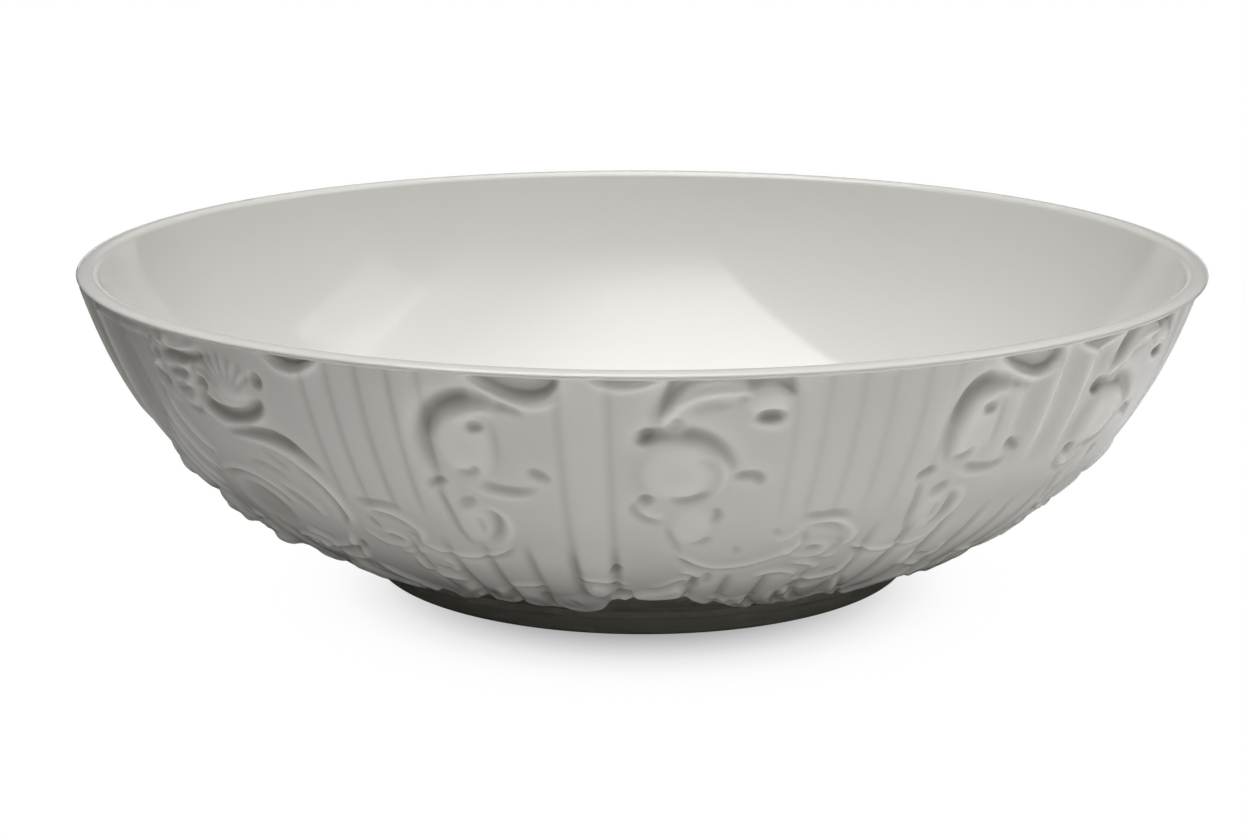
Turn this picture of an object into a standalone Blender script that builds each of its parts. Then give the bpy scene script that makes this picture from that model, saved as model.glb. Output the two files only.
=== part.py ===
"""Porcelain serving bowl: a turned body, a rolled lip, a foot ring, and the relief pressed onto its wall.

Metres, +Z up. The origin is the centre of the face that the foot rests on. Angles go round the bowl from
the front (-Y) towards +X. A height on the wall is a share of the wall's own curve, 0 at the foot and 1 at
the lip, and a lift stands off that curve along its normal.
"""

import math

import bmesh
import bpy

MM = 0.001

# Driving sizes
RIM_RADIUS = 127.0 * MM
BOWL_HEIGHT = 71.8 * MM
LIP_WIDTH = 4.4 * MM
LIP_HEIGHT = 3.0 * MM
FOOT_RADIUS = 62.6 * MM
FOOT_WIDTH = 6.0 * MM
FOOT_HEIGHT = 4.2 * MM
FLOOR_THICKNESS = 5.6 * MM
FLOOR_RADIUS = 50.0 * MM
GAP = 0.3 * MM

# The wall's outer curve: a cubic through these (radius, height) control points
WALL_FOOT = (59.0 * MM, 1.5 * MM)
WALL_LOW = (94.0 * MM, 16.0 * MM)
WALL_HIGH = (115.0 * MM, 31.0 * MM)
WALL_RIM = (126.8 * MM, BOWL_HEIGHT)

# Layers of the wall, as lifts from its outer curve
BODY_LIFT = -2.2 * MM
PANEL_BACK = BODY_LIFT + GAP
PANEL_VALLEY = -0.9 * MM
PANEL_CREST = -0.3 * MM
SPRIG_BACK = PANEL_CREST + GAP
INNER_LIFT = -4.9 * MM

# Where the relief starts and ends up the wall
PANEL_FOOT_SHARE = 0.17
PANEL_TOP_SHARE = 0.955
SCALLOP_DEPTH = 0.03

# Facets
TURNED_STEPS = 64
WALL_STEPS = 11
PANEL_ROWS = 8
CURVE_SAMPLES = 400
JOIN_DISTANCE = 1e-6

# Relief panels round one half of the bowl: name, first angle, last angle, flutes
PANELS = (
    ("plain_panel", -71.0, -52.5, 2),
    ("leaf_panel", -52.5, -32.0, 4),
    ("c_scroll_panel", -32.0, -6.0, 6),
    ("s_scroll_panel", -6.0, 14.0, 5),
    ("c_scroll_panel", 14.0, 41.0, 6),
    ("s_scroll_panel", 41.0, 64.0, 5),
    ("fluted_panel", 64.0, 109.0, 10),
)

# Pressed scrolls of one half: name, angle, share, length, curl, tilt, width, whether it is S-shaped
SCROLLS = (
    ("c_scroll", -14.0, 0.79, 42 * MM, 215, 100, 2.0 * MM, False),
    ("c_scroll", 34.0, 0.79, 42 * MM, 215, 100, 2.0 * MM, False),
    ("s_scroll", 4.5, 0.78, 46 * MM, 190, -70, 2.0 * MM, True),
    ("s_scroll", 54.0, 0.78, 46 * MM, 190, -70, 2.0 * MM, True),
    ("garland_scroll", -36.5, 0.50, 30 * MM, 120, 0, 1.4 * MM, False),
    ("garland_scroll", -19.5, 0.53, 27 * MM, 130, 0, 1.4 * MM, False),
    ("garland_scroll", 10.0, 0.50, 30 * MM, 130, 0, 1.4 * MM, False),
    ("garland_scroll", 29.0, 0.53, 27 * MM, 130, 0, 1.4 * MM, False),
    ("garland_scroll", 57.0, 0.50, 30 * MM, 120, 0, 1.4 * MM, False),
)

# Pressed leaves of one half: name, angle, share, length, bend, tilt, width
LEAVES = (
    ("acanthus_leaf", -45.0, 0.68, 34 * MM, 60, -20, 4.6 * MM),
    ("acanthus_leaf", -41.5, 0.89, 22 * MM, 40, 15, 3.4 * MM),
    ("foot_leaf", -24.0, 0.35, 20 * MM, 40, 0, 3.2 * MM),
    ("foot_leaf", 2.0, 0.35, 24 * MM, 40, 0, 3.2 * MM),
    ("foot_leaf", 20.5, 0.35, 22 * MM, 40, 0, 3.2 * MM),
    ("foot_leaf", 45.0, 0.35, 20 * MM, 40, 0, 3.2 * MM),
)
FLOWER_ANGLE = -57.0
FLOWER_SHARE = 0.87
FLOWER_RADIUS = 4.6 * MM
FLOWER_PETALS = 5

SPRIG_RISE = 0.9 * MM
SPRIG_STEPS = 14
LEAF_STEPS = 8


def wall_point(along):
    """Radius, height and outward normal of the wall's outer curve at one value of the curve's parameter."""
    back = 1.0 - along
    weights = (back**3, 3 * back**2 * along, 3 * back * along**2, along**3)
    slopes = (3 * back**2, 6 * back * along, 3 * along**2)
    points = (WALL_FOOT, WALL_LOW, WALL_HIGH, WALL_RIM)
    radius, height = (sum(w * p[i] for w, p in zip(weights, points)) for i in (0, 1))
    run, climb = (
        sum(s * (points[k + 1][i] - points[k][i]) for k, s in enumerate(slopes)) for i in (0, 1)
    )
    length = math.hypot(run, climb)
    return radius, height, climb / length, -run / length


def measure_wall():
    """Length along the wall's curve up to each of its samples."""
    lengths = [0.0]
    last = wall_point(0.0)
    for k in range(1, CURVE_SAMPLES + 1):
        point = wall_point(k / CURVE_SAMPLES)
        lengths.append(lengths[-1] + math.hypot(point[0] - last[0], point[1] - last[1]))
        last = point
    return lengths


WALL_LENGTHS = measure_wall()
WALL_LENGTH = WALL_LENGTHS[-1]


def wall_at(share, lift):
    """Radius and height of a point that stands off the wall's curve at a share of its length."""
    wanted = min(max(share, 0.0), 1.0) * WALL_LENGTH
    k = next(i for i in range(1, CURVE_SAMPLES + 1) if WALL_LENGTHS[i] >= wanted - JOIN_DISTANCE)
    step = (wanted - WALL_LENGTHS[k - 1]) / (WALL_LENGTHS[k] - WALL_LENGTHS[k - 1])
    radius, height, out, up = wall_point((k - 1 + step) / CURVE_SAMPLES)
    return radius + out * lift, height + up * lift


def on_wall(angle, share, lift):
    """World position of a point on the wall."""
    radius, height = wall_at(share, lift)
    turn = math.radians(angle)
    return radius * math.sin(turn), -radius * math.cos(turn), height


def spread_on_wall(angle, share, across, up):
    """Angle and share of the point that lies so far across and up the wall from another one."""
    new_share = share + up / WALL_LENGTH
    radius, _ = wall_at(new_share, 0.0)
    return angle + math.degrees(across / radius), new_share


def glazed_porcelain(name, colour, roughness):
    """Material of one sub-part."""
    material = bpy.data.materials.new(name)
    material.use_nodes = True
    shader = material.node_tree.nodes["Principled BSDF"]
    shader.inputs["Base Color"].default_value = (*colour, 1.0)
    shader.inputs["Roughness"].default_value = roughness
    shader.inputs["Metallic"].default_value = 0.0
    material.diffuse_color = (*colour, 1.0)
    return material


def add_object(name, bm, material):
    """Finishes one closed body and puts it in the scene."""
    bmesh.ops.remove_doubles(bm, verts=bm.verts, dist=JOIN_DISTANCE)
    bmesh.ops.recalc_face_normals(bm, faces=bm.faces)
    mesh = bpy.data.meshes.new(name)
    bm.to_mesh(mesh)
    bm.free()
    mesh.materials.append(material)
    mesh.shade_smooth()
    mesh.set_sharp_from_angle(angle=math.radians(35))
    part = bpy.data.objects.new(name, mesh)
    bpy.context.scene.collection.objects.link(part)
    return part


def turned(name, outline, material, closed):
    """Turns an outline of (radius, height) points round the bowl's axis."""
    bm = bmesh.new()
    verts = [bm.verts.new((radius, 0.0, height)) for radius, height in outline]
    edges = [bm.edges.new(pair) for pair in zip(verts, verts[1:])]
    if closed:
        edges.append(bm.edges.new((verts[-1], verts[0])))
    bmesh.ops.spin(
        bm,
        geom=verts + edges,
        cent=(0.0, 0.0, 0.0),
        axis=(0.0, 0.0, 1.0),
        angle=math.tau,
        steps=TURNED_STEPS,
    )
    return add_object(name, bm, material)


def bridge_rings(bm, rings):
    """Skins a row of like rings of vertices and closes both ends."""
    for near, far in zip(rings, rings[1:]):
        for k in range(len(near)):
            nxt = (k + 1) % len(near)
            bm.faces.new((near[k], near[nxt], far[nxt], far[k]))
    bm.faces.new(rings[0][::-1])
    bm.faces.new(rings[-1])


def bowl_body():
    """The thrown body: floor and wall, up to the lip."""
    top_share = 1.0 - LIP_HEIGHT / WALL_LENGTH
    foot_share = 0.09
    span = top_share - foot_share
    outer = [
        wall_at(foot_share + span * k / WALL_STEPS, BODY_LIFT) for k in range(WALL_STEPS + 1)
    ]
    inner = [wall_at(top_share - span * k / WALL_STEPS, INNER_LIFT) for k in range(WALL_STEPS)]
    underside = FOOT_HEIGHT + GAP
    floor = underside + FLOOR_THICKNESS
    inner = [point for point in inner if point[1] > floor + 2.0 * MM]
    top_height = BOWL_HEIGHT - LIP_HEIGHT - GAP
    outer[-1] = (outer[-1][0], top_height)
    inner[0] = (inner[0][0], top_height)
    outline = [(0.0, underside), (FOOT_RADIUS - GAP, underside), *outer, *inner]
    outline += [(FLOOR_RADIUS, floor + 0.4 * MM), (FLOOR_RADIUS * 0.6, floor), (0.0, floor)]
    return turned("bowl_body", outline, glazed_porcelain("glazed_body", (0.86, 0.86, 0.84), 0.12), False)


def rim_lip():
    """The rolled lip on top of the wall."""
    radius = RIM_RADIUS - LIP_WIDTH / 2
    shoulder = BOWL_HEIGHT - LIP_HEIGHT
    dome = shoulder + 0.9 * MM
    outline = [(radius - LIP_WIDTH / 2 + 0.4 * MM, shoulder), (radius + LIP_WIDTH / 2 - 0.4 * MM, shoulder)]
    arc_steps = 6
    for k in range(arc_steps + 1):
        turn = math.pi * k / arc_steps
        across = radius + math.cos(turn) * LIP_WIDTH / 2
        outline.append((across, dome + math.sin(turn) * (BOWL_HEIGHT - dome)))
    return turned("rim_lip", outline, glazed_porcelain("glazed_lip", (0.88, 0.88, 0.86), 0.1), True)


def foot_ring():
    """The ring that the bowl stands on, luted under the body."""
    inside = FOOT_RADIUS - FOOT_WIDTH
    edge = 0.8 * MM
    outline = [
        (inside + edge, 0.0),
        (FOOT_RADIUS - edge, 0.0),
        (FOOT_RADIUS, edge),
        (FOOT_RADIUS, FOOT_HEIGHT),
        (inside, FOOT_HEIGHT),
        (inside, edge),
    ]
    return turned("foot_ring", outline, glazed_porcelain("bare_foot", (0.8, 0.79, 0.76), 0.45), True)


def fluted_panel(name, first, last, flutes, material):
    """A pressed panel of the wall, with flutes that run down to the foot and a scalloped top edge."""
    margin = math.degrees(GAP / 2 / WALL_FOOT[0])
    first += margin
    last -= margin
    columns = flutes * 2
    bm = bmesh.new()
    rings = []
    for i in range(columns + 1):
        angle = first + (last - first) * i / columns
        off_centre = 2.0 * i / columns - 1.0
        top = PANEL_TOP_SHARE - SCALLOP_DEPTH * (1.0 - off_centre**2)
        lift = PANEL_CREST if i % 2 else PANEL_VALLEY
        shares = [
            PANEL_FOOT_SHARE + (top - PANEL_FOOT_SHARE) * j / PANEL_ROWS for j in range(PANEL_ROWS + 1)
        ]
        outside = [on_wall(angle, share, lift) for share in shares]
        backing = [on_wall(angle, share, PANEL_BACK) for share in reversed(shares)]
        rings.append([bm.verts.new(point) for point in outside + backing])
    bridge_rings(bm, rings)
    return add_object(name, bm, material)


def sprig_along(name, path, half_widths, material):
    """A pressed ornament with a domed section that follows a path of (angle, share) points on the wall."""
    bm = bmesh.new()
    rings = []
    dome = ((-1.0, 0.0), (-0.65, 0.7), (0.0, 1.0), (0.65, 0.7), (1.0, 0.0))
    for k, (angle, share) in enumerate(path):
        before = path[max(k - 1, 0)]
        after = path[min(k + 1, len(path) - 1)]
        radius, _ = wall_at(share, 0.0)
        along = math.radians(after[0] - before[0]) * radius
        up = (after[1] - before[1]) * WALL_LENGTH
        length = math.hypot(along, up)
        ring = []
        for side, rise in dome:
            across = half_widths[k] * side
            place = spread_on_wall(angle, share, -up / length * across, along / length * across)
            ring.append(bm.verts.new(on_wall(*place, SPRIG_BACK + rise * SPRIG_RISE)))
        rings.append(ring)
    bridge_rings(bm, rings)
    return add_object(name, bm, material)


def curled_path(angle, share, length, curl, tilt, s_shaped, steps):
    """A path whose two ends curl up, both the same way for a C and opposite ways for an S."""
    x = y = 0.0
    points = [(x, y)]
    for k in range(steps):
        u = 2.0 * (k + 0.5) / steps - 1.0
        bend = u * u if s_shaped else u * abs(u)
        heading = math.radians(tilt + curl * bend)
        x += math.cos(heading) * length / steps
        y += math.sin(heading) * length / steps
        points.append((x, y))
    middle_x = sum(p[0] for p in points) / len(points)
    middle_y = sum(p[1] for p in points) / len(points)
    return [spread_on_wall(angle, share, px - middle_x, py - middle_y) for px, py in points]


def scroll(name, angle, share, length, curl, tilt, width, s_shaped, material):
    """A scroll, thick in the middle and thin at its curled ends."""
    path = curled_path(angle, share, length, curl, tilt, s_shaped, SPRIG_STEPS)
    widths = [
        width * (0.35 + 0.65 * math.sin(math.pi * (k + 0.5) / (SPRIG_STEPS + 1)))
        for k in range(SPRIG_STEPS + 1)
    ]
    return sprig_along(name, path, widths, material)


def leaf(name, angle, share, length, bend, tilt, width, material):
    """A leaf, broad in the middle and pointed at both ends."""
    path = curled_path(angle, share, length, bend, tilt, False, LEAF_STEPS)
    widths = [
        width * (0.12 + 0.88 * math.sin(math.pi * k / LEAF_STEPS)) for k in range(LEAF_STEPS + 1)
    ]
    return sprig_along(name, path, widths, material)


def flower(name, angle, share, material):
    """A five-petalled flower with a raised eye."""
    bm = bmesh.new()
    points_round = FLOWER_PETALS * 4
    rings = []
    for reach, rise in ((1.0, 0.0), (0.85, 0.75), (0.35, 0.6), (0.2, 1.0)):
        ring = []
        for k in range(points_round):
            turn = math.tau * k / points_round
            petal = 0.84 + 0.16 * math.cos(FLOWER_PETALS * turn)
            radius = FLOWER_RADIUS * reach * (petal if reach > 0.5 else 1.0)
            place = spread_on_wall(angle, share, radius * math.cos(turn), radius * math.sin(turn))
            ring.append(bm.verts.new(on_wall(*place, SPRIG_BACK + rise * SPRIG_RISE)))
        rings.append(ring)
    bridge_rings(bm, rings)
    return add_object(name, bm, material)


def relief():
    """All pressed pieces, twice round the bowl."""
    panel_clay = glazed_porcelain("glazed_relief", (0.82, 0.82, 0.8), 0.14)
    sprig_clay = glazed_porcelain("glazed_ornament", (0.87, 0.87, 0.85), 0.14)
    counts = {}

    def numbered(name):
        counts[name] = counts.get(name, 0) + 1
        return f"{name}_{counts[name]}"

    for half_turn in (0.0, 180.0):
        for name, first, last, flutes in PANELS:
            fluted_panel(numbered(name), first + half_turn, last + half_turn, flutes, panel_clay)
        for name, angle, *shape in SCROLLS:
            scroll(numbered(name), angle + half_turn, *shape, sprig_clay)
        for name, angle, *shape in LEAVES:
            leaf(numbered(name), angle + half_turn, *shape, sprig_clay)
        flower(numbered("flower"), FLOWER_ANGLE + half_turn, FLOWER_SHARE, sprig_clay)


def main():
    for old in list(bpy.data.objects):
        bpy.data.objects.remove(old, do_unlink=True)
    bowl_body()
    rim_lip()
    foot_ring()
    relief()


main()
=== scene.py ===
"""Porcelain serving bowl, finished: turned body, rolled lip, foot ring and fourteen pressed relief panels.

Angles go round the bowl in degrees, from the front (-Y) towards +X. A height on the wall is a percentage of
the wall's own curve, 0 at the foot and 100 at the lip. A lift stands off that curve along its normal and is
in millimetres, as is every stroke's width and depth. The relief is modelled once for half the wall and
pressed again half a turn further on.
"""

import functools
import math

import bpy
import numpy as np
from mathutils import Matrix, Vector


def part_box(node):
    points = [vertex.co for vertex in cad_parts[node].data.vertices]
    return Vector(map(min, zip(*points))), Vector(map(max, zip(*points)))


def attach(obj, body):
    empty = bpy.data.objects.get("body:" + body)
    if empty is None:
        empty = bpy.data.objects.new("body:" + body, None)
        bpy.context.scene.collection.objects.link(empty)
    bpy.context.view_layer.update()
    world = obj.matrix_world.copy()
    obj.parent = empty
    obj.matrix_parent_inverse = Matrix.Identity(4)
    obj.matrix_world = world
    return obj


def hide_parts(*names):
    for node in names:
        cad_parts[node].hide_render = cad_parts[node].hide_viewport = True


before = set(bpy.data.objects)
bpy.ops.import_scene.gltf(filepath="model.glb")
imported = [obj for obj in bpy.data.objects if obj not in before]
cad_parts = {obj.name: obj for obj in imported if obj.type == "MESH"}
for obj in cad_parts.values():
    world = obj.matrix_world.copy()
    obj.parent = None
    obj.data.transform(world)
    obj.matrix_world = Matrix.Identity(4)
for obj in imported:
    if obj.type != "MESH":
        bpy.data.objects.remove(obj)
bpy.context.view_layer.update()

bl_info = {
    "name": "Porcelain Serving Bowl",
    "version": (1, 0, 0),
    "blender": (4, 5, 0),
    "location": "View3D > Sidebar > Bowl",
    "description": "Builds a glazed porcelain serving bowl with a scrolled relief",
    "category": "Add Mesh",
}

MM = 0.001
LIP_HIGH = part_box("rim_lip")[1]
FOOT_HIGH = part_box("foot_ring")[1]
RIM_RADIUS = LIP_HIGH.x
BOWL_HEIGHT = LIP_HIGH.z
FOOT_RADIUS = FOOT_HIGH.x

# The wall's outer curve: a cubic through these (radius, height) control points
WALL_FOOT = (59.0 * MM, 1.5 * MM)
WALL_LOW = (94.0 * MM, 16.0 * MM)
WALL_HIGH = (115.0 * MM, 31.0 * MM)
WALL_RIM = (RIM_RADIUS - 0.2 * MM, BOWL_HEIGHT)
CURVE_SAMPLES = 2000

# The half of the wall that the relief is modelled on, with a little spare clay past both ends
HALF_START = -71.0
HALF_TURN = 180.0
SPARE_ANGLE = 4.0
REPEATS = (-HALF_TURN, 0.0, HALF_TURN)
# The panels' lower and upper edge, and the clay's cells between them
PANEL_FOOT = 6.0
PANEL_TOP = 99.1
COLUMN_STEP = 1.0 / 6.0
ROWS = 240
# Lifts of a panel's plain skin and of its back, whose cells are so many times wider and higher
SKIN = -0.55
PANEL_BACK = -2.9
BACK_COLUMN = 6
BACK_ROW = 12
# A stroke's cross-section: its reach in widths, how steeply it falls, and its width and roundness at the tips
STROKE_REACH = 2.2
STROKE_FALL = 1.6
TIP_WIDTH = 0.45
TIP_ROUNDNESS = 0.8
# The finished relief: its largest lift either way, and where under the lip its raised parts die out
LIFT_LIMIT = 2.3
LIP_FADE = (96.5, 98.8)
# How much pooled glaze and painted shade lie on level clay, from 0 to 1, and how many millimetres deeper it
# is 1 more
LEVEL_POOLING_AND_SHADE = 0.33
HOLLOW_DEPTH = 1.4


# ---------------------------------------------------------------- the wall's curve


def curve_point(along):
    """Radius, height and outward normal of the wall's outer curve at values of the curve's parameter."""
    along = np.asarray(along, float)
    back = 1.0 - along
    weights = (back**3, 3 * back**2 * along, 3 * back * along**2, along**3)
    slopes = (3 * back**2, 6 * back * along, 3 * along**2)
    points = (WALL_FOOT, WALL_LOW, WALL_HIGH, WALL_RIM)
    radius, height = (sum(w * p[i] for w, p in zip(weights, points)) for i in (0, 1))
    run, climb = (
        sum(s * (points[k + 1][i] - points[k][i]) for k, s in enumerate(slopes)) for i in (0, 1)
    )
    length = np.hypot(run, climb)
    return radius, height, climb / length, -run / length


CURVE_STEPS = np.linspace(0.0, 1.0, CURVE_SAMPLES)
CURVE_LENGTHS = np.concatenate(
    ([0.0], np.cumsum(np.hypot(*(np.diff(side) for side in curve_point(CURVE_STEPS)[:2]))))
)
WALL_LENGTH = CURVE_LENGTHS[-1]
WALL_MM = WALL_LENGTH / MM


def wall_at(percent):
    """Radius, height and outward normal at percentages of the wall's length."""
    wanted = np.clip(np.asarray(percent, float) / 100.0, 0.0, 1.0) * WALL_LENGTH
    return curve_point(np.interp(wanted, CURVE_LENGTHS, CURVE_STEPS))


def off_wall(percent, lift):
    """Radius and height of points that stand off the wall's curve by a lift in millimetres."""
    radius, height, out, up = wall_at(percent)
    return radius + out * lift * MM, height + up * lift * MM


def ease(low, high, value):
    """Smooth step from 0 at low to 1 at high."""
    step = np.clip((value - low) / (high - low), 0.0, 1.0)
    return step * step * (3.0 - 2.0 * step)


# ---------------------------------------------------------------- modelling the relief


def smooth_path(points, closed=False, fine=8):
    """A smooth line through a stroke's points."""
    points = np.array(points, float)
    count = len(points)
    if count == 2 and not closed:
        return points
    path = []
    for i in range(count if closed else count - 1):
        if closed:
            a, b, c, d = (points[(i + k) % count] for k in (-1, 0, 1, 2))
        else:
            b, c = points[i], points[i + 1]
            a = points[i - 1] if i > 0 else 2 * b - c
            d = points[i + 2] if i + 2 < count else 2 * c - b
        for k in range(fine):
            u = k / fine
            bend = (2 * a - 5 * b + 4 * c - d) * u * u
            path.append(0.5 * (2 * b + (c - a) * u + bend + (3 * b - a - 3 * c + d) * u**3))
    if not closed:
        path.append(points[-1])
    return np.array(path)


def blurred(field, rows, columns):
    """Softens a field with a bell-shaped brush, so many cells wide along rows and columns."""
    for axis, width in ((0, rows), (1, columns)):
        reach = max(1, int(math.ceil(3 * width)))
        weights = np.exp(-0.5 * (np.arange(-reach, reach + 1) / width) ** 2)
        weights /= weights.sum()
        pad = [(reach, reach) if k == axis else (0, 0) for k in (0, 1)]
        padded = np.pad(field, pad, mode="edge")
        size = field.shape[axis]
        moved = (padded.take(range(k, k + size), axis=axis) for k in range(2 * reach + 1))
        field = sum(w * m for w, m in zip(weights, moved))
    return field


def tapered(along, share):
    """A stroke's strength near one end, rising over a share of its length."""
    if share <= 0:
        return np.ones_like(along)
    return np.sin(np.clip(along / share, 0, 1) * math.pi / 2) ** TIP_ROUNDNESS


class Clay:
    """Soft clay on half the wall: strokes press it down or build it up."""

    def __init__(self):
        start = HALF_START - SPARE_ANGLE
        columns = round((HALF_TURN + 2 * SPARE_ANGLE) / COLUMN_STEP)
        self.angle = start + COLUMN_STEP * np.arange(columns + 1)
        self.share = np.linspace(PANEL_FOOT, PANEL_TOP, ROWS + 1)
        self.radius = wall_at(self.share)[0] / MM
        self.lift = np.full((ROWS + 1, columns + 1), SKIN)
        self.recess = np.zeros_like(self.lift)

    def window(self, path, reach):
        """The rows and columns that a stroke can touch."""
        low, high = path.min(0), path.max(0)
        round_reach = math.degrees(reach / float(wall_at(max(low[1], PANEL_FOOT))[0] / MM))
        up_reach = 100.0 * reach / WALL_MM
        rows = np.flatnonzero((self.share >= low[1] - up_reach) & (self.share <= high[1] + up_reach))
        near = (self.angle >= low[0] - round_reach) & (self.angle <= high[0] + round_reach)
        columns = np.flatnonzero(near)
        if not len(rows) or not len(columns):
            return None
        return slice(rows[0], rows[-1] + 1), slice(columns[0], columns[-1] + 1)

    def unrolled(self, window, path):
        """Cells and path laid flat, in millimetres round the path's middle."""
        middle = path.mean(0)
        rows, columns = window
        across = np.radians(self.angle[columns] - middle[0])[None, :] * self.radius[rows][:, None]
        up = np.repeat(((self.share[rows] - middle[1]) / 100 * WALL_MM)[:, None], across.shape[1], 1)
        path_across = np.radians(path[:, 0] - middle[0]) * (wall_at(path[:, 1])[0] / MM)
        path_up = (path[:, 1] - middle[1]) / 100 * WALL_MM
        return across, up, path_across, path_up

    def near(self, points, reach, closed=False):
        """Distance from a line and how far along it, for each place half a turn apart."""
        for turn in REPEATS:
            path = smooth_path([(angle + turn, share) for angle, share in points], closed)
            window = self.window(path, reach)
            if window is None:
                continue
            x, y, px, py = self.unrolled(window, path)
            if closed:
                px, py = np.append(px, px[0]), np.append(py, py[0])
            lengths = np.hypot(np.diff(px), np.diff(py))
            before = np.concatenate(([0.0], np.cumsum(lengths)))
            best = np.full(x.shape, 1e9)
            along = np.zeros(x.shape)
            for k, length in enumerate(lengths):
                if length < 1e-9:
                    continue
                dx, dy = px[k + 1] - px[k], py[k + 1] - py[k]
                u = np.clip(((x - px[k]) * dx + (y - py[k]) * dy) / length**2, 0.0, 1.0)
                ex, ey = x - px[k] - u * dx, y - py[k] - u * dy
                distance = np.hypot(ex, ey)
                closer = distance < best
                best = np.where(closer, distance, best)
                along = np.where(closer, (before[k] + u * length) / before[-1], along)
            yield window, best, along, (x, y, px, py)

    def bead(self, points, width, high, head=0.25, tail=0.25):
        """A rounded line of clay that fades over its head and tail shares."""
        for window, distance, along, _ in self.near(points, width * STROKE_REACH):
            strength = tapered(along, head) * tapered(1 - along, tail)
            spread = width * (TIP_WIDTH + (1 - TIP_WIDTH) * strength)
            self.lift[window] += high * strength * np.exp(-STROKE_FALL * (distance / spread) ** 2)

    def groove(self, points, width, deep, head=0.35, tail=0.35):
        """A rounded line pressed in."""
        self.bead(points, width, -deep, head, tail)

    def pit(self, angle, share, across, up, deep, turn=0.0, power=1.0):
        """An oval hollow."""
        cos, sin = math.cos(math.radians(turn)), math.sin(math.radians(turn))
        for half in REPEATS:
            path = np.array([[angle + half, share]], float)
            window = self.window(path, max(across, up) * 1.3)
            if window is None:
                continue
            x, y, _, _ = self.unrolled(window, path)
            far = ((x * cos + y * sin) / across) ** 2 + ((-x * sin + y * cos) / up) ** 2
            self.lift[window] -= deep * ease(0, 1, 1 - far) ** power

    def dome(self, angle, share, across, up, high, turn=0.0, power=0.6):
        """An oval swelling."""
        self.pit(angle, share, across, up, -high, turn, power)

    def region(self, points, high, soft, crown=0.0):
        """Raises or sinks all inside a closed outline, with a soft edge and, if wanted, a crown."""
        for window, distance, _, (x, y, px, py) in self.near(points, soft + 1, True):
            inside = np.zeros(x.shape, bool)
            for x1, y1, x2, y2 in zip(px, py, px[1:], py[1:]):
                if y1 != y2:
                    inside ^= ((y1 > y) != (y2 > y)) & (x < (x2 - x1) * (y - y1) / (y2 - y1) + x1)
            depth = np.where(inside, distance, 0.0)
            self.lift[window] += high * ease(0, soft, depth)
            if crown:
                share = np.clip(depth / max(depth.max(), 1e-3), 0, 1)
                self.lift[window] += crown * np.sqrt(1 - (1 - share) ** 2)

    def flutes(self, lines, low, high, deep=0.2, width=0.55, crown=0.15, fade=10.0):
        """Upright lines pressed into the wall, with a slightly crowned strip between neighbours."""
        strength = ease(low, low + fade, self.share) * (1 - ease(high - fade, high, self.share))
        for half in REPEATS:
            for line in lines:
                distance = np.radians(self.angle - line - half)[None, :] * self.radius[:, None]
                self.lift -= deep * strength[:, None] * np.exp(-((distance / width) ** 2))
            for first, last in zip(lines, lines[1:]):
                across = (self.angle - first - half) / (last - first)
                bulge = np.where((across >= 0) & (across <= 1), 4 * across * (1 - across), 0)
                self.lift += crown * strength[:, None] * bulge[None, :]

    def pleats(self, ridges, low, high, tall=0.5, fade=8.0):
        """Upright folds: crisp ridges with a round hollow between neighbours."""
        strength = ease(low, low + fade, self.share) * (1 - ease(high - fade, high, self.share))
        for half in REPEATS:
            for first, last in zip(ridges, ridges[1:]):
                across = (self.angle - first - half) / (last - first)
                hollow = np.where((across >= 0) & (across <= 1), 4 * across * (1 - across), 0)
                self.lift -= tall * strength[:, None] * hollow[None, :]


def moved(points, angle):
    """A stroke's points, turned round the bowl."""
    return [(first + angle, share) for first, share in points]


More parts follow.
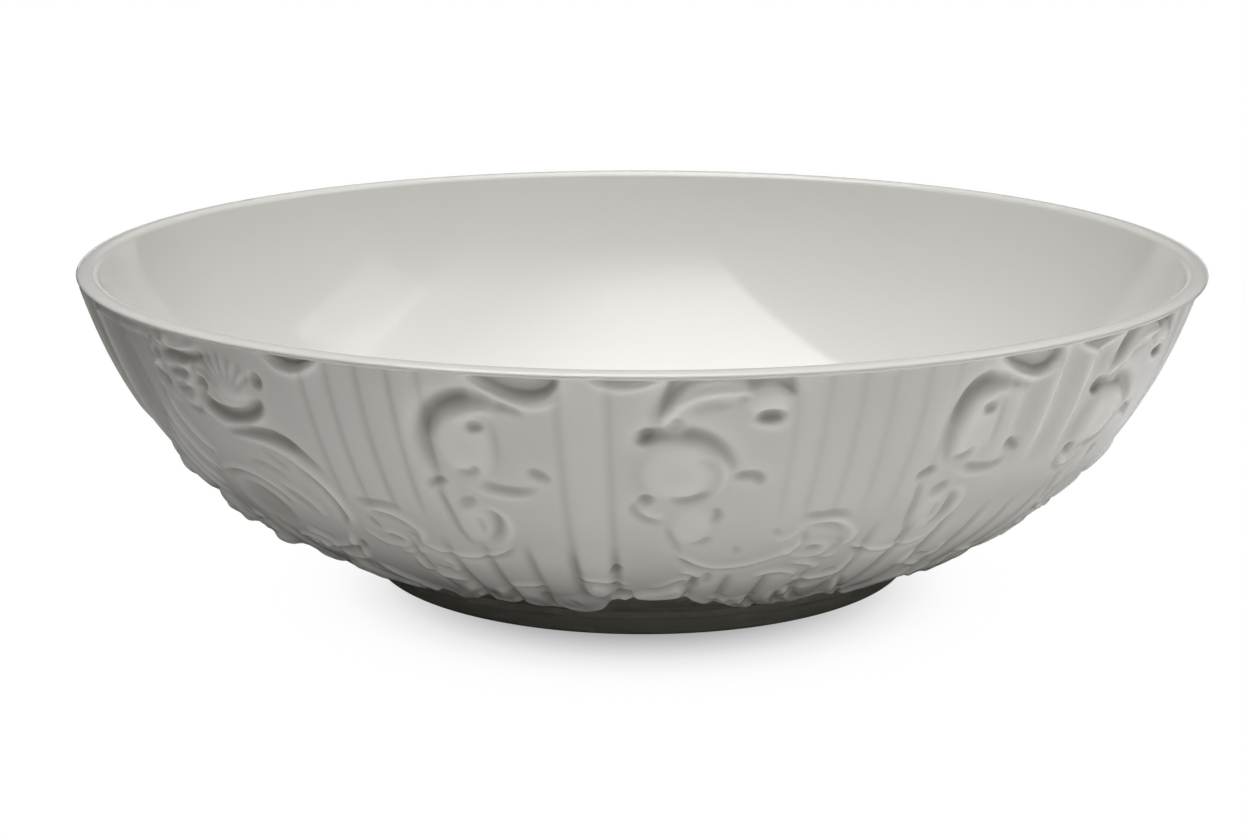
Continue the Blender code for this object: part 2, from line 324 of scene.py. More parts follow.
def c_scroll(clay, start, leaf=1.0):
    """A leafy C-scroll under a notch, from the notch's left tip; leaf scales the leaf's left side."""

    def at(*points):
        return moved(points, start)

    # notch under the lip, with a bead along its edge
    notch = at(
        (0.2, 103), (0.3, 98.6), (1.6, 96.2), (3.4, 94.2), (5.4, 93.2),
        (7.2, 93.8), (8.2, 95.5), (8.6, 98), (8.4, 103),
    )
    clay.region(notch, -1.5, 1.4)
    clay.bead(
        at((-0.3, 98.5), (0.6, 98.3), (2.0, 95.4), (3.8, 93.2), (5.8, 92.0), (7.4, 92.4), (8.6, 94)),
        0.85, 0.5, 0.1, 0.3,
    )
    # the leaf and the hollow round it
    clay.dome(start - 0.4, 82.5, 6.2, 8.8, 0.55)
    left = ((-3.5, 74.5), (-4.3, 79), (-4.5, 83.5), (-3.9, 87.5), (-2.7, 91.2), (-0.6, 93.4))
    left = tuple((angle * leaf, share) for angle, share in left)
    clay.groove(at(*left, (1.8, 93.2), (4.0, 92.0)), 2.4, 1.0, 0.4, 0.35)
    clay.groove(at(*left[2:], (0.4, 95.6)), 2.6, 0.45, 0.4, 0.3)
    clay.groove(at((2.6, 91.8), (4.0, 91.6), (5.2, 90.2)), 1.2, 0.5, 0.3, 0.4)
    clay.bead(at((-1.2, 88.2), (0.0, 90.0), (1.6, 90.4), (2.8, 89.4)), 0.9, 0.35, 0.4, 0.4)
    clay.pit(start + 0.7, 87.4, 2.4, 1.5, 0.75)
    # the curled points of the leaf
    clay.groove(at((-1.9, 77.0), (-1.0, 76.0), (-0.1, 76.6), (0.2, 78.6)), 1.35, 0.75, 0.5, 0.3)
    clay.groove(at((4.9, 77.4), (6.0, 76.4), (7.2, 75.0)), 1.4, 0.8, 0.3, 0.5)
    clay.groove(at((0.2, 73.8), (1.6, 72.6), (3.2, 72.0), (4.8, 72.2), (5.9, 73.2)), 1.3, 0.7, 0.3, 0.5)
    clay.bead(at((-1.5, 73.4), (0.6, 70.9), (3.2, 70.0), (5.6, 70.6)), 0.9, 0.25, 0.4, 0.4)
    clay.groove(at((2.3, 89), (2.3, 84), (2.2, 78)), 1.0, 0.22, 0.3, 0.4)
    # short bar and the line that drops from it
    clay.groove(at((-5.2, 71.6), (-4.1, 73.2), (-2.9, 73.8)), 1.1, 0.75, 0.3, 0.3)
    clay.groove(at((-4.5, 71.5), (-3.9, 66), (-3.6, 60), (-3.1, 56), (-2.3, 53.8)), 0.75, 0.5, 0.2, 0.5)
    clay.dome(start - 1.4, 61.5, 3.6, 7.4, 0.3)
    # volute
    clay.pit(start - 1.6, 68.0, 2.8, 1.7, 0.5, 40)
    clay.groove(at((0.2, 66.0), (0.9, 64.5), (1.0, 61.5), (0.5, 58.5), (-0.6, 56.6)), 1.1, 0.65, 0.35, 0.6)
    clay.groove(at((-0.9, 64.2), (-0.7, 61), (-0.9, 59)), 0.9, 0.35)
    volute = at(
        (-0.9, 66.9), (0.9, 67.2), (2.1, 64.5), (2.2, 60.5),
        (1.3, 56.6), (-0.4, 54.4), (-2.4, 54.0),
    )
    clay.bead(volute, 0.9, 0.32, 0.3, 0.5)
    # garland cup
    cup = at((2.0, 56.2), (0.6, 53.0), (-1.4, 51.0), (-4.0, 50.2), (-6.8, 50.8), (-9.2, 53.4))
    clay.groove([(angle, share - 1.2) for angle, share in cup], 1.0, 0.6, 0.2, 0.25)
    clay.bead(cup, 0.95, 0.5, 0.2, 0.25)


def s_scroll(clay, start):
    """An S-scroll: an arch that ends in a bulb, a thick hollow and a round lobe."""

    def at(*points):
        return moved(points, start)

    # hollow between the lip and the arch
    field = at(
        (1.2, 88.5), (1.4, 93), (2.0, 97), (3.0, 103), (12.6, 103), (13.4, 97), (13.4, 93.5), (12.2, 95.4),
        (10.8, 96.4), (9.4, 95.6), (8.4, 97.2), (6.0, 97.8), (4.0, 96.2), (2.5, 92.6),
    )
    clay.region(field, -0.95, 1.3)
    clay.groove(at((1.0, 88.0), (1.2, 91.5), (1.9, 95.5), (3.0, 98.5)), 1.5, 0.35, 0.3, 0.3)
    # the arch
    clay.bead(
        at((1.9, 87.8), (2.5, 91.2), (4.2, 94.2), (6.2, 95.4), (8.4, 95.4), (9.8, 94.4)),
        1.25, 0.6, 0.2, 0.3,
    )
    clay.bead(at((1.5, 89.2), (2.2, 87.2), (3.6, 86.9), (4.2, 88.4)), 0.8, 0.4, 0.3, 0.3)
    clay.pit(start + 3.1, 89.2, 1.7, 1.0, 0.45)
    clay.groove(at((4.2, 91.2), (6.0, 92.6), (8.0, 92.8)), 1.2, 0.25, 0.4, 0.4)
    # bulb
    clay.dome(start + 10.9, 92.8, 4.6, 3.0, 0.5)
    clay.pit(start + 11.2, 90.3, 3.3, 1.8, 1.05)
    clay.pit(start + 8.8, 94.2, 1.6, 0.9, 0.3)
    clay.bead(at((9.0, 89.4), (10.6, 87.9), (12.4, 87.9), (13.5, 89.6)), 0.9, 0.25, 0.4, 0.4)
    # hollow over the lobe, thick in its middle
    clay.dome(start + 3.3, 77.4, 7.6, 7.6, 0.6)
    hollow = at((8.6, 77.6), (8.0, 80.6), (6.9, 83.6), (5.2, 86.0), (3.0, 86.9), (1.2, 86.4), (-0.2, 84.4))
    clay.groove(hollow, 2.1, 1.1, 0.45, 0.12)
    clay.pit(start + 0.2, 86.0, 2.6, 2.2, 0.55, 35)
    clay.bead(at((6.9, 82.0), (7.7, 78.5), (7.6, 74.8), (7.0, 71.2)), 0.9, 0.25, 0.4, 0.4)
    clay.groove(at((5.0, 80.8), (6.0, 79.8), (6.4, 77.6)), 0.9, 0.25)
    clay.groove(at((2.4, 71.4), (3.8, 70.4), (5.3, 71.0), (6.6, 72.8)), 1.35, 0.65, 0.4, 0.35)
    # hook
    clay.pit(start + 0.4, 70.6, 2.1, 1.7, 0.8)
    clay.groove(at((-0.6, 70.4), (-0.7, 67.6), (0.2, 65.4), (1.2, 64.4), (2.4, 64.0)), 0.95, 0.55, 0.2, 0.4)
    clay.bead(at((0.3, 68.4), (0.9, 66.6), (2.2, 66.4)), 0.8, 0.3)
    # the leaf below the lobe, with small ticks
    clay.dome(start + 5.0, 63.0, 4.2, 6.4, 0.3)
    clay.groove(at((7.0, 68.2), (7.5, 65.8), (7.0, 63.6)), 1.05, 0.6)
    clay.groove(at((5.0, 57.2), (6.2, 57.6), (7.1, 59.6)), 0.85, 0.45, 0.5, 0.3)
    clay.groove(at((8.3, 76.4), (9.8, 76.6), (10.8, 76.2), (11.3, 74.0)), 1.3, 0.8, 0.35, 0.35)
    clay.groove(at((2.3, 64), (2.9, 60), (3.8, 55.5), (4.4, 53.4)), 0.9, 0.35, 0.4, 0.3)
    clay.groove(at((10.0, 56.0), (10.2, 54.0), (10.4, 53.0)), 0.8, 0.3)
    # cup
    cup = at(
        (16.8, 60.5), (16.9, 57), (16, 53.6), (13.6, 50.2),
        (11, 48.4), (8, 48.2), (5.6, 50.4), (3.9, 53.8),
    )
    clay.groove([(angle, share - 1.3) for angle, share in cup[2:]], 1.05, 0.65, 0.3, 0.15)
    clay.bead(cup, 1.0, 0.5, 0.25, 0.15)
    clay.bead(at((13.6, 58.6), (14.6, 57.4), (15.6, 58.6), (16.4, 61.4), (15.6, 62.6)), 0.8, 0.25)
    clay.groove(at((13.6, 61.0), (14.6, 58.8)), 0.9, 0.35)


def small_scroll(clay, start):
    """The little scroll between two cups; start is the angle of its left end."""

    def at(*points):
        return moved(points, start)

    clay.groove(at((0.0, 64.8), (1.8, 64.4), (3.6, 64.6), (5.6, 63.8)), 1.15, 0.6, 0.3, 0.4)
    back = at((0.2, 61.8), (1.8, 62.9), (3.8, 62.7), (5.4, 60.8), (6.6, 57.6), (6.4, 54.6), (5.2, 52.6))
    clay.bead(back, 1.0, 0.45, 0.3, 0.3)
    clay.groove(at((1.2, 61.0), (2.6, 61.1), (4.2, 60.0), (5.2, 57.8)), 0.8, 0.35, 0.3, 0.3)
    clay.groove(at((0.7, 59.8), (1.0, 57.2), (1.2, 55.6)), 1.0, 0.45)
    clay.pit(start + 2.6, 53.2, 1.9, 1.2, 0.5)
    clay.bead(at((1.2, 54.6), (2.4, 55.4), (3.9, 54.2), (3.9, 51.4), (2.2, 50.4), (0.8, 52.0)), 0.75, 0.3)
    clay.groove(at((4.8, 56.4), (5.6, 54.2), (5.0, 51.6)), 0.8, 0.3)
    clay.bead(at((-1.2, 55.0), (0.2, 52.0), (1.6, 49.4)), 0.9, 0.25)
    clay.bead(at((2.0, 48.0), (4.0, 48.6), (6.0, 50.6)), 0.9, 0.25)


def lip_notch(clay, start, width, deep=1.0):
    """A shallow notch under the lip, with a bead round it."""
    low = 98.4 - 1.3 * deep
    steps = ((0.0, 103), (0.05, 98.6), (0.3, low), (0.6, low), (0.95, 98.6), (1.0, 103))
    clay.region([(start + width * across, share) for across, share in steps], -deep, 1.0)
    edge = ((0.0, 98.4), (0.3, low - 0.8), (0.6, low - 0.8), (1.0, 98.2))
    clay.bead([(start + width * across, share) for across, share in edge], 0.9, 0.4)


def plain_field(clay, first, last):
    """A smooth hollow field with a beaded edge and a deep groove at its left."""
    clay.bead(
        [(first - 5.2, 100), (first - 5.0, 85), (first - 4.8, 70), (first - 4.4, 60)],
        3.4, 1.3, 0.05, 0.25,
    )
    clay.groove(
        [(first + 2.8, 103), (first + 2.5, 90), (first + 2.2, 70), (first + 3.0, 55)],
        4.2, 2.0, 0.0, 0.4,
    )
    clay.bead(
        [(first + 5.9, 97.5), (first + 5.7, 85), (first + 5.8, 70), (first + 6.4, 58)],
        1.2, 0.7, 0.05, 0.4,
    )
    # leafy streaks that sweep down from the field, and rounded leaves under them
    streaks = (
        ((last - 1.0, 84), (last - 0.2, 78), (last + 1.4, 73), (last + 3.4, 69)),
        ((last - 3.6, 80), (last - 2.6, 73), (last - 0.8, 67), (last + 1.2, 63)),
        ((last - 6.4, 74), (last - 5.2, 67), (last - 3.4, 61), (last - 1.2, 57)),
        ((last - 9.4, 69), (last - 8.0, 62), (last - 6.0, 56), (last - 3.6, 52)),
    )
    for streak in streaks:
        clay.bead(streak, 1.5, 0.6, 0.4, 0.3)
        clay.groove([(angle - 1.2, share - 1.0) for angle, share in streak], 1.3, 0.7, 0.4, 0.3)
    leaves = (
        (4.0, 53, 7.0, 8.0, 1.1), (10.0, 45, 7.0, 7.0, 1.1), (2.0, 40, 7.0, 6.5, 1.0),
        (15.5, 38, 6.0, 5.5, 0.7), (7.5, 32, 7.0, 5.5, 0.5),
    )
    for place, share, across, up, high in leaves:
        angle = first + place
        clay.dome(angle, share, across, up, high)
        below = [(angle - 3, share - 3.5), (angle, share - up + 1.5), (angle + 3.4, share - 3)]
        clay.groove(below, 1.6, 0.5 * high, 0.3, 0.3)
    clay.bead(
        [(first + 2.0, 97.4), (first + 8, 96.4), (last - 3, 96.4), (last - 0.6, 96.6), (last, 93)],
        1.0, 0.55, 0.1, 0.3,
    )
    clay.bead([(last - 0.6, 95), (last + 0.4, 90), (last - 0.6, 84)], 1.0, 0.4, 0.3, 0.4)
    clay.pit((first + last) / 2 + 1, 82, 9.0, 22.0, 0.6)


def shell_leaf(clay, middle):
    """A shell of leaves under the lip in a thick crescent, and a broad leaf that sweeps down beside it."""

    def at(*points):
        return moved(points, middle)

    # petals under the lip
    clay.dome(middle - 6.5, 97.0, 5.6, 2.6, 0.5)
    clay.bead(
        at((-10.6, 98), (-9.8, 96.4), (-8.2, 95.4), (-6.2, 95.2), (-4.2, 95.8), (-2.6, 97.6)),
        1.0, 0.5, 0.15, 0.2,
    )
    clay.groove(
        at((-9.4, 93.2), (-7.6, 93.8), (-5.4, 93.4), (-3.2, 94.2), (-1.8, 95.6)),
        1.3, 0.8, 0.2, 0.4,
    )
    clay.bead(at((-10.0, 91.6), (-8.0, 90.8), (-6.0, 91.4), (-4.2, 92.4)), 0.9, 0.4)
    clay.groove(at((-9.2, 89.4), (-7.4, 89.8), (-5.6, 89.2)), 1.0, 0.55)
    clay.bead(at((-9.0, 87.6), (-7.0, 87.8), (-5.2, 88.6)), 0.9, 0.35)
    clay.groove(at((-9.4, 86.0), (-7.6, 85.6), (-6.0, 86.4)), 0.9, 0.45)
    clay.groove(at((-12.0, 89.2), (-11.3, 87.2), (-10.2, 85.0)), 1.1, 0.9, 0.25, 0.35)
    clay.bead(at((-12.8, 87.4), (-12.0, 85.0), (-10.6, 82.6), (-9.2, 82.0)), 0.9, 0.4)
    clay.bead(at((-8.6, 83.6), (-7.0, 82.8), (-5.6, 84.0)), 0.9, 0.35)
    clay.groove(at((-8.4, 81.2), (-6.8, 80.6), (-5.6, 81.6)), 0.9, 0.4)
    petals = ((-11.0, 94.2, 25), (-7.6, 96.9, 0), (-4.0, 90.4, -30), (-10.8, 90.6, 20), (-6.4, 87.0, 10))
    for angle, share, turn in petals:
        clay.dome(middle + angle, share, 1.5, 0.9, 0.45, turn)
    clay.groove(at((-11.6, 95.6), (-10.8, 93.0), (-10.2, 91.0)), 0.9, 0.6, 0.3, 0.3)
    clay.groove(at((-5.0, 92.0), (-4.6, 89.6), (-5.2, 86.6)), 0.9, 0.55, 0.3, 0.3)
    # the shell and its fan of veins
    clay.dome(middle + 0.2, 89.5, 6.6, 6.6, 0.5)
    hinge = 87.0
    tips = ((-3.6, 95.6), (-2.0, 96.8), (-0.4, 96.8), (1.2, 96.2), (2.6, 94.8), (3.6, 92.4), (-4.2, 92.0))
    for angle, share in tips:
        near = (angle * 0.25, hinge + (share - hinge) * 0.2)
        far = (angle * 0.65, hinge + (share - hinge) * 0.65)
        clay.groove(at(near, far, (angle, share)), 0.75, 0.42, 0.3, 0.3)
    clay.groove(at((-1.6, 86.2), (0.2, 85.0), (2.0, 86.2)), 0.8, 0.3)
    clay.pit(middle - 4.0, 88.0, 1.8, 2.2, 0.8, -20)
    clay.pit(middle + 4.2, 91.4, 1.9, 2.2, 0.85, 10)
    smile = at(
        (-4.6, 87.2), (-4.6, 84.2), (-3.4, 82.2), (-1.2, 81.6),
        (1.0, 82.6), (2.9, 84.8), (4.1, 87.2),
    )
    clay.groove(smile, 1.9, 1.25, 0.22, 0.22)
    clay.bead(
        at((-5.6, 85.2), (-5.0, 81.8), (-3.2, 79.6), (-0.8, 79.2), (2.0, 80.6), (4.4, 84.0)),
        1.3, 0.4, 0.3, 0.3,
    )
    # the broad leaf
    clay.groove(
        at((-3.2, 77.4), (-1.0, 78.4), (1.4, 78.8), (3.8, 78.4), (5.8, 76.6), (7.2, 74.0), (8.9, 70.4)),
        1.5, 0.95, 0.4, 0.4,
    )
    clay.groove(at((3.0, 78.6), (5.2, 77.2), (6.6, 75.0)), 1.9, 0.35, 0.4, 0.4)
    clay.bead(
        at(
            (-3.4, 75.6), (0.0, 76.6), (3.2, 75.8), (5.4, 73.6),
            (7.6, 69.2), (8.8, 64.0), (8.9, 58.4), (7.8, 54.4),
        ),
        1.3, 0.5, 0.2, 0.3,
    )
    clay.groove(
        at((5.0, 71.2), (6.6, 68.2), (7.6, 65.0), (8.0, 61.0), (7.7, 57.0), (6.8, 54.4)),
        1.0, 0.75, 0.3, 0.3,
    )
    clay.groove(at((-3.0, 69.4), (-0.6, 69.7), (1.4, 68.6), (3.0, 66.6)), 0.9, 0.45)
    clay.groove(at((0.8, 74.0), (2.2, 72.0), (4.0, 69.2)), 0.8, 0.35)
    clay.bead(at((1.0, 66.0), (3.4, 63.4), (4.8, 59.6), (4.6, 55.8)), 1.1, 0.3)
    clay.groove(at((0.6, 63.4), (2.6, 60.4), (3.4, 56.6)), 0.8, 0.3)
    clay.bead(
        at((-11, 62.6), (-8, 65.2), (-5, 66.6), (-2, 66.0), (0.4, 63.0), (1.6, 58.6)),
        1.2, 0.4, 0.3, 0.3,
    )
    clay.groove(
        at((-10, 61.4), (-7.4, 63.6), (-4.8, 64.6), (-2.4, 63.8), (-0.4, 60.8), (0.2, 57.6)),
        1.1, 0.65, 0.3, 0.3,
    )
    clay.pit(middle - 5.0, 55.5, 8.5, 8.5, 0.55)
    # the cup under it
    clay.groove(
        at((-5.0, 38.4), (-2.0, 39.6), (1.0, 41.4), (4.0, 43.4), (6.4, 46.0), (7.8, 49.6)),
        1.1, 0.7, 0.3, 0.2,
    )
    clay.bead(
        at((-5.2, 40.6), (-2.0, 41.8), (1.0, 43.6), (4.0, 45.8), (6.0, 48.6), (7.0, 52.0)),
        1.2, 0.45, 0.3, 0.2,
    )


def leaf_cluster(clay, start):
    """Drooping leaves along the foot, to the left of the start."""

    def at(*points):
        return moved(points, start)

    clay.dome(start - 8.3, 26.5, 6.0, 6.4, 0.6)
    clay.dome(start - 14.6, 28.0, 3.6, 6.6, 0.5)
    clay.bead(
        at((-12.2, 31.0), (-11.6, 26.0), (-9.6, 22.4), (-7.0, 22.0), (-4.6, 25.6), (-3.6, 29.6)),
        1.0, 0.35,
    )
    clay.groove(at((-12.8, 33.0), (-12.5, 28.0), (-12.4, 23.6)), 0.9, 0.6)
    clay.groove(at((-9.6, 31.0), (-8.8, 27.0), (-8.6, 23.4)), 0.8, 0.3)
    clay.bead(at((-16.4, 36.8), (-15.0, 38.2), (-13.2, 38.6), (-11.8, 37.0)), 1.1, 0.45)
    clay.groove(at((-16.0, 34.6), (-14.6, 36.0), (-12.8, 36.0)), 1.0, 0.5)
    clay.bead(at((-18.2, 35.0), (-18.8, 30.0), (-20.2, 24.6)), 1.4, 0.5)
    clay.groove(at((-17.0, 33.0), (-17.2, 28.0), (-17.6, 23.0)), 1.0, 0.5)
    clay.bead(at((-21.8, 36.0), (-23.4, 31.0), (-26.0, 25.0), (-28.6, 21.0)), 1.8, 0.6)
    clay.groove(at((-20.6, 32.0), (-21.8, 27.0), (-23.2, 22.4)), 1.2, 0.6)
    clay.bead(at((-22.0, 29.0), (-23.6, 25.0), (-25.4, 21.8)), 1.1, 0.35)
    clay.bead(at((-26.4, 47.0), (-26.6, 42.0), (-25.2, 39.4), (-23.4, 38.8), (-22.2, 36.4)), 1.2, 0.5)
    clay.groove(at((-24.6, 44.0), (-23.8, 42.4), (-23.0, 43.4)), 1.0, 0.45)
    clay.bead(at((-22.6, 47.6), (-21.8, 44.6), (-22.4, 41.4)), 1.0, 0.3)
    # round leaf and the bead that rises from it
    clay.dome(start - 5.2, 36.6, 2.6, 3.8, 0.65)
    clay.groove(at((-7.4, 39.6), (-5.6, 41.2), (-3.8, 39.8), (-2.8, 36.8)), 0.9, 0.6)
    clay.bead(at((-7.6, 42.6), (-5.6, 43.4), (-3.2, 42.0), (-1.4, 39.6)), 0.9, 0.35)
    clay.groove(at((-2.3, 48.6), (-2.8, 46.6), (-2.9, 44.4)), 0.85, 0.95, 0.25, 0.25)


def shell_cluster(clay, start):
    """A scalloped leaf, a swirl and a fan of rays along the foot, to the right of the drooping leaves."""

    def at(*points):
        return moved(points, start)

    clay.pit(start - 2.0, 34.0, 1.9, 3.2, 0.8)
    leaf = at(
        (-1.2, 34.0), (0.0, 36.8), (2.0, 37.4), (4.4, 39.6),
        (5.7, 37.0), (5.4, 33.6), (2.6, 32.2), (0.0, 32.6),
    )
    clay.region(leaf, 0.55, 1.4, 0.25)
    clay.bead(at((0.4, 38.6), (2.2, 39.4), (4.0, 42.6), (5.4, 43.2), (5.9, 39.0)), 0.9, 0.35)
    clay.groove(at((0.0, 30.6), (3.0, 30.0), (5.6, 31.0)), 1.2, 0.45)
    clay.groove(at((6.1, 44.0), (6.3, 41.0), (6.3, 38.0)), 0.9, 0.7)
    clay.groove(at((7.6, 45.8), (7.8, 42.6), (7.4, 39.8)), 0.9, 0.5)
    clay.bead(at((4.2, 46.6), (5.6, 46.0), (7.0, 43.6)), 1.0, 0.4)
    # swirl
    clay.bead(at((13.2, 42.6), (14.4, 44.6), (16.4, 45.0), (18.0, 43.6), (18.0, 41.6)), 1.0, 0.5)
    clay.pit(start + 15.6, 42.8, 1.7, 1.2, 0.5)
    clay.bead(at((16.8, 48.6), (18.6, 47.6), (20.2, 46.0), (20.6, 43.6)), 0.9, 0.4)
    clay.groove(at((18.8, 49.8), (20.0, 48.4), (21.4, 48.2)), 0.9, 0.45)
    clay.bead(
        at((18.6, 40.6), (20.4, 39.4), (22.6, 39.8), (24.2, 41.4), (24.8, 45.0), (24.9, 50.0)),
        1.1, 0.5,
    )
    clay.pit(start + 23.2, 42.2, 1.5, 1.0, 0.6)
    clay.pit(start + 21.0, 35.8, 4.6, 3.4, 0.55)
    # fan of rays
    rays = (
        ((24.4, 39.0), (25.8, 34.0), (27.6, 28.0), (30.4, 22.0)),
        ((18.8, 36.0), (19.8, 30.0), (21.6, 25.0), (24.0, 21.0)),
        ((16.8, 34.0), (17.4, 29.0), (18.6, 24.6), (20.4, 21.0)),
        ((13.6, 29.0), (14.4, 25.4), (15.6, 22.6), (17.0, 20.4)),
        ((9.0, 33.0), (10.6, 30.0), (12.6, 29.6), (14.4, 31.4)),
    )
    for ray in rays:
        clay.bead(at(*ray), 1.3, 0.55, 0.3, 0.3)
        clay.groove([(angle + start + 1.25, share - 0.4) for angle, share in ray], 1.0, 0.45, 0.3, 0.3)


def overlapping_lobes(clay, first, last):
    """Three rows of rounded lobes that overlap like leaves, low on the ribbed field."""
    for row, share in enumerate((54.0, 41.0, 29.0)):
        for place in range(5):
            angle = first + (last - first) * (place + (0.5 if row % 2 else 0.0)) / 4.0
            clay.dome(angle, share, 8.0, 7.4, (1.1, 1.0, 0.4)[row])
            below = [(angle - 4.0, share + 2.0), (angle - 2.4, share - 4.0), (angle, share - 6.0)]
            below += [(angle + 2.4, share - 4.0), (angle + 4.0, share + 2.0)]
            clay.groove(below, 1.5, (0.45, 0.4, 0.2)[row], 0.25, 0.25)


# The lower edge of the leaves above the foot, over one repeat
FOOT_EDGE = (
    (-30, 25.0), (-28, 20.6), (-25.6, 20.6), (-23, 26.0), (-21.8, 22.4), (-19.4, 21.0), (-16.6, 24.4),
    (-14.2, 21.0), (-11.2, 20.4), (-8, 20.2), (-5.2, 24.0), (-3.6, 30.4), (-2.0, 29.4), (-0.6, 32.4),
    (2.4, 31.2), (5.0, 32.0), (6.6, 30.0), (8.4, 27.0), (11.6, 26.0), (13.8, 20.4), (16.4, 19.4),
    (17.8, 21.6), (19.6, 19.2), (22.2, 20.8), (24.4, 19.4), (26.4, 25.2), (28.4, 23.4), (30, 21.0),
)
FOOT_REPEAT = 60.0


def foot_hollow(clay):
    """The smooth recess above the foot ring, under the leaves' lower edge."""
    angles = [angle for angle, _ in FOOT_EDGE[:-1]]
    shares = [share for _, share in FOOT_EDGE[:-1]]
    edge = np.interp(clay.angle, angles, shares, period=FOOT_REPEAT)
    above = (clay.share[:, None] - edge[None, :]) / 100 * WALL_MM
    # This recess mask also paints the recess darkest with painted shade in the relief's colour
    clay.recess = 1 - ease(-1.5, 0.5, above)
    clay.lift -= 1.05 * clay.recess
    clay.lift += 0.3 * np.exp(-(((above - 1.4) / 1.3) ** 2))


@functools.lru_cache(maxsize=1)
def modelled_clay(boldness):
    """The finished relief of half the wall, and how much pooled glaze and painted shade darken each place."""
    clay = Clay()
    clay.flutes((-31.4, -28.5, -25.4, -22.3, -19.4), 60, 110, 0.26, 0.6, 0.12)
    clay.flutes((-7.2, -2.8), 35, 110, 0.2, 0.8, 0.2)
    clay.flutes((13.6, 16.3, 19.4, 22.4, 25.6, 28.6), 60, 110, 0.12, 0.6, 0.08)
    clay.flutes((-26.0, -21.4, -17.0, -12.2, -7.4, -2.8), 26, 58, 0.4, 0.8, 0.3)
    clay.flutes((6.0, 10.2, 15.0, 20.0), 20, 46, 0.35, 0.8, 0.3, 6.0)
    clay.flutes((25.2, 29.8, 34.6, 39.8, 44.6, 49.6, 54.8, 60.0), 24, 62, 0.42, 0.85, 0.35)
    clay.flutes((-68.0, -63.2, -58.4, -53.6, -48.8), 20, 52, 0.4, 0.9, 0.35)
    clay.pleats((36.6, 41.0, 45.6, 50.0), 68, 104, 0.55)
    for ridge in (41.0, 45.6):
        clay.bead([(ridge, 96.4), (ridge, 88), (ridge + 0.2, 76)], 0.9, 0.45, 0.1, 0.6)
    clay.pleats((64, 68.5, 73, 77.5, 82, 86.5, 91, 95.5, 100, 104.5, 109), 24, 112, 0.6)
    c_scroll(clay, -15.4)
    c_scroll(clay, 32.4, 0.6)
    for start in (0.0, 48.6):
        s_scroll(clay, start)
    for start in (-30.3, 16.2):
        small_scroll(clay, start)
    notches = ((-35.4, 6.6, 2.0), (-4.6, 6.4, 1.0), (42.6, 7.6, 1.3), (77.5, 9.0, 1.2), (95.5, 9.0, 1.2))
    for start, width, deep in notches:
        lip_notch(clay, start, width, deep)
    plain_field(clay, -71.0, -52.5)
    overlapping_lobes(clay, 72.0, 108.0)
    shell_leaf(clay, -41.2)
    for turn in (-FOOT_REPEAT, 0.0, FOOT_REPEAT):
        leaf_cluster(clay, turn)
        shell_cluster(clay, turn)
    foot_hollow(clay)
    clay.lift = np.clip(blurred(clay.lift, 1.0, 1.2) * boldness, -LIFT_LIMIT, LIFT_LIMIT)
    clay.lift -= np.maximum(clay.lift, 0.0) * ease(*LIP_FADE, clay.share)[:, None]
    # Pooled glaze and painted shade: the further a place lies below the clay around it, the more its colour
    # is mixed towards the dark pooled colour
    nearby = blurred(clay.lift, 5.0, 6.0) - clay.lift
    around = blurred(clay.lift, 14.0, 17.0) - clay.lift
    hollow = np.clip(LEVEL_POOLING_AND_SHADE + (0.75 * nearby + 0.25 * around) / HOLLOW_DEPTH, 0.0, 1.0)
    # The recess above the foot gets the full painted shade of the pooled colour
    return clay, np.maximum(hollow, clay.recess)


# ---------------------------------------------------------------- materials

GLAZE_IOR = 1.5
WAVE_DEPTH = 0.04 * MM
ROUGHNESS_DRIFT = 0.015
BARE_ROUGHNESS = 0.6


def add_node(tree, kind, values=None, **settings):
    """A new node with its settings, and the values of inputs that nothing feeds."""
    node = tree.nodes.new(kind)
    for name, setting in settings.items():
        setattr(node, name, setting)
    for socket, value in (values or {}).items():
        node.inputs[socket].default_value = value
    return node


def smooth_range(tree, start, end, low, high):
    """A node that eases from low at start to high at end."""
    values = {"From Min": start, "From Max": end, "To Min": low, "To Max": high}
    return add_node(tree, "ShaderNodeMapRange", values, interpolation_type="SMOOTHSTEP")


def grey_ramp(tree, tones):
    """A ramp of greys through pairs of a position and a tone, in rising order."""
    ramp = add_node(tree, "ShaderNodeValToRGB")
    stops = ramp.color_ramp.elements
    stops[0].position = tones[0][0]
    stops[1].position = tones[-1][0]
    for position, _ in tones[1:-1]:
        stops.new(position)
    for stop, (_, tone) in zip(stops, tones):
        stop.color = (tone, tone, tone, 1.0)
    return ramp


def wire(tree, *runs):
    """Joins nodes; a run is a node, its output, the next node and that one's input."""
    for start, output, end, socket in runs:
        tree.links.new(start.outputs[output], end.inputs[socket])


def node_group(name, inputs, outputs):
    """A shader node group with named sockets, and whether it is new and still empty."""
    if name in bpy.data.node_groups:
        return bpy.data.node_groups[name], False
    group = bpy.data.node_groups.new(name, "ShaderNodeTree")
    for title, kind, default in inputs:
        socket = group.interface.new_socket(name=title, in_out="INPUT", socket_type=kind)
        if default is not None:
            socket.default_value = default
    for title, kind in outputs:
        group.interface.new_socket(name=title, in_out="OUTPUT", socket_type=kind)
    return group, True


